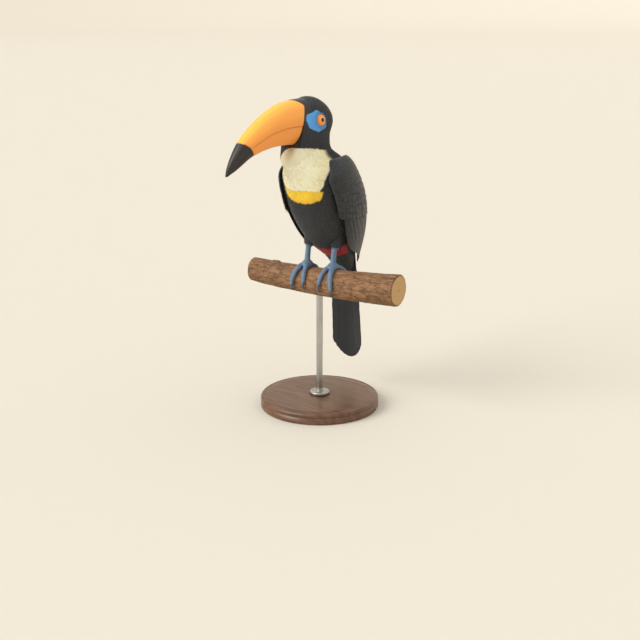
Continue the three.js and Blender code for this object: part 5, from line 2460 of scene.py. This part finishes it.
@dataclass(frozen=True)
class Studio:
    """Floor, backdrop, lamps and camera."""

    floor_half: float = 36.0  # metres of flat floor each way before the backdrop curves up
    sweep: float = 15.0  # radius of that curve
    wall: float = 18.0  # height of the wall above it
    floor_sides: int = 128
    lens: float = 60.0
    azimuth: float = 33.0
    pitch: float = 16.0
    camera: tuple[float, float, float] = (0.8888, -1.3672, 0.6094)
    ambient: float = 1.1
    sun: float = 2.6
    sun_from: tuple[float, float, float] = (-0.5, -0.85, 0.55)
    sun_angle: float = 40.0

    def floor(self) -> Piece:
        """The floor and a backdrop that curves up all round it: a profile of radius and height, turned.

        Returns:
            The floor.
        """
        flat = [(0.01, 0.0), (0.6, 0.0), (self.floor_half, 0.0)]
        curve = [
            (self.floor_half + self.sweep * math.sin(a), self.sweep * (1.0 - math.cos(a)))
            for a in np.radians(np.linspace(4, 90, 24))
        ]
        top = (self.floor_half + self.sweep, self.sweep + self.wall)
        grid = revolved([*flat, *curve, top], self.floor_sides)
        number, _, quads = bands(*grid.shape[:2])
        mesh = bpy.data.meshes.new("floor")
        faces = quads[:, [0, 3, 2, 1]].tolist() + [number[0].tolist()]
        mesh.from_pydata(grid.reshape(-1, 3).tolist(), [], faces)
        mesh.shade_smooth()
        mesh.materials.append(FloorFinish().build("studio_floor"))
        floor = bpy.data.objects.new("floor", mesh)
        bpy.context.scene.collection.objects.link(floor)
        floor.location.z = -0.0005
        floor.visible_shadow = False
        return floor

    def lamp(self) -> None:
        """One broad soft lamp, from the left in front and above."""
        light = bpy.data.lights.new("key", "SUN")
        light.energy = self.sun
        light.angle = math.radians(self.sun_angle)
        light.color = (1.0, 0.985, 0.96)
        lamp = bpy.data.objects.new("key", light)
        x, y, z = self.sun_from
        lamp.rotation_euler = (math.atan2(math.hypot(x, y), z), 0.0, math.atan2(x, -y))
        lamp.location = (x * 3.0, y * 3.0, z * 3.0)
        bpy.context.scene.collection.objects.link(lamp)

    def build(self) -> None:
        """Sets the stage."""
        self.floor()
        self.lamp()
        world = bpy.data.worlds.new("studio")
        world.use_nodes = True
        sky = world.node_tree.nodes["Background"]
        sky.inputs["Color"].default_value = (1.0, 0.992, 0.975, 1.0)
        sky.inputs["Strength"].default_value = self.ambient
        scene = bpy.context.scene
        scene.world = world
        scene.view_settings.view_transform = "Standard"
        camera = bpy.data.cameras.new("camera")
        camera.lens = self.lens
        camera.sensor_width = 36.0
        view = bpy.data.objects.new("camera", camera)
        view.location = self.camera
        view.rotation_euler = (math.radians(90.0 - self.pitch), 0.0, math.radians(self.azimuth))
        scene.collection.objects.link(view)
        scene.camera = view


def main() -> None:
    """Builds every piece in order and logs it."""
    logging.basicConfig(level=logging.INFO, format="%(message)s")
    form = BodyForm()
    marks = Markings(form)
    seats = [EyeSeat(form, side) for side in Side]
    coat_finish = PlumageFinish(barbs=9.0, spread=0.08, glow=0.35).build("contour_feather")
    quill = PlumageFinish(
        barbs=150.0, slant=0.1, relief=0.00008, roughness=0.42, spread=0.2, rim=0.5, quill=0.55
    )
    quill_finish = quill.build("flight_feather")
    Skin(form, marks, seats).build(SkinFinish().build("bare_skin"))
    bill = Bill(form)
    bill.build(BillFinish().build("bill_horn"))
    eye_finish = EyeFinish().build("eye")
    for seat in seats:
        Eye(seat).build(eye_finish)
    wings = [Wing(form, side) for side in Side]
    Coat(form, marks, wings[0], bill).build(coat_finish)
    for wing in wings:
        wing.build(coat_finish, quill_finish)
    Tail(form).build(quill_finish)
    Claws(form).build(ClawFinish().build("claw_horn"))
    Perch(form).build(BranchFinish().build("bark"))
    Stand().build(WalnutFinish().build("walnut"), SteelFinish().build("steel"))
    Studio().build()


if __name__ == "__main__":
    main()
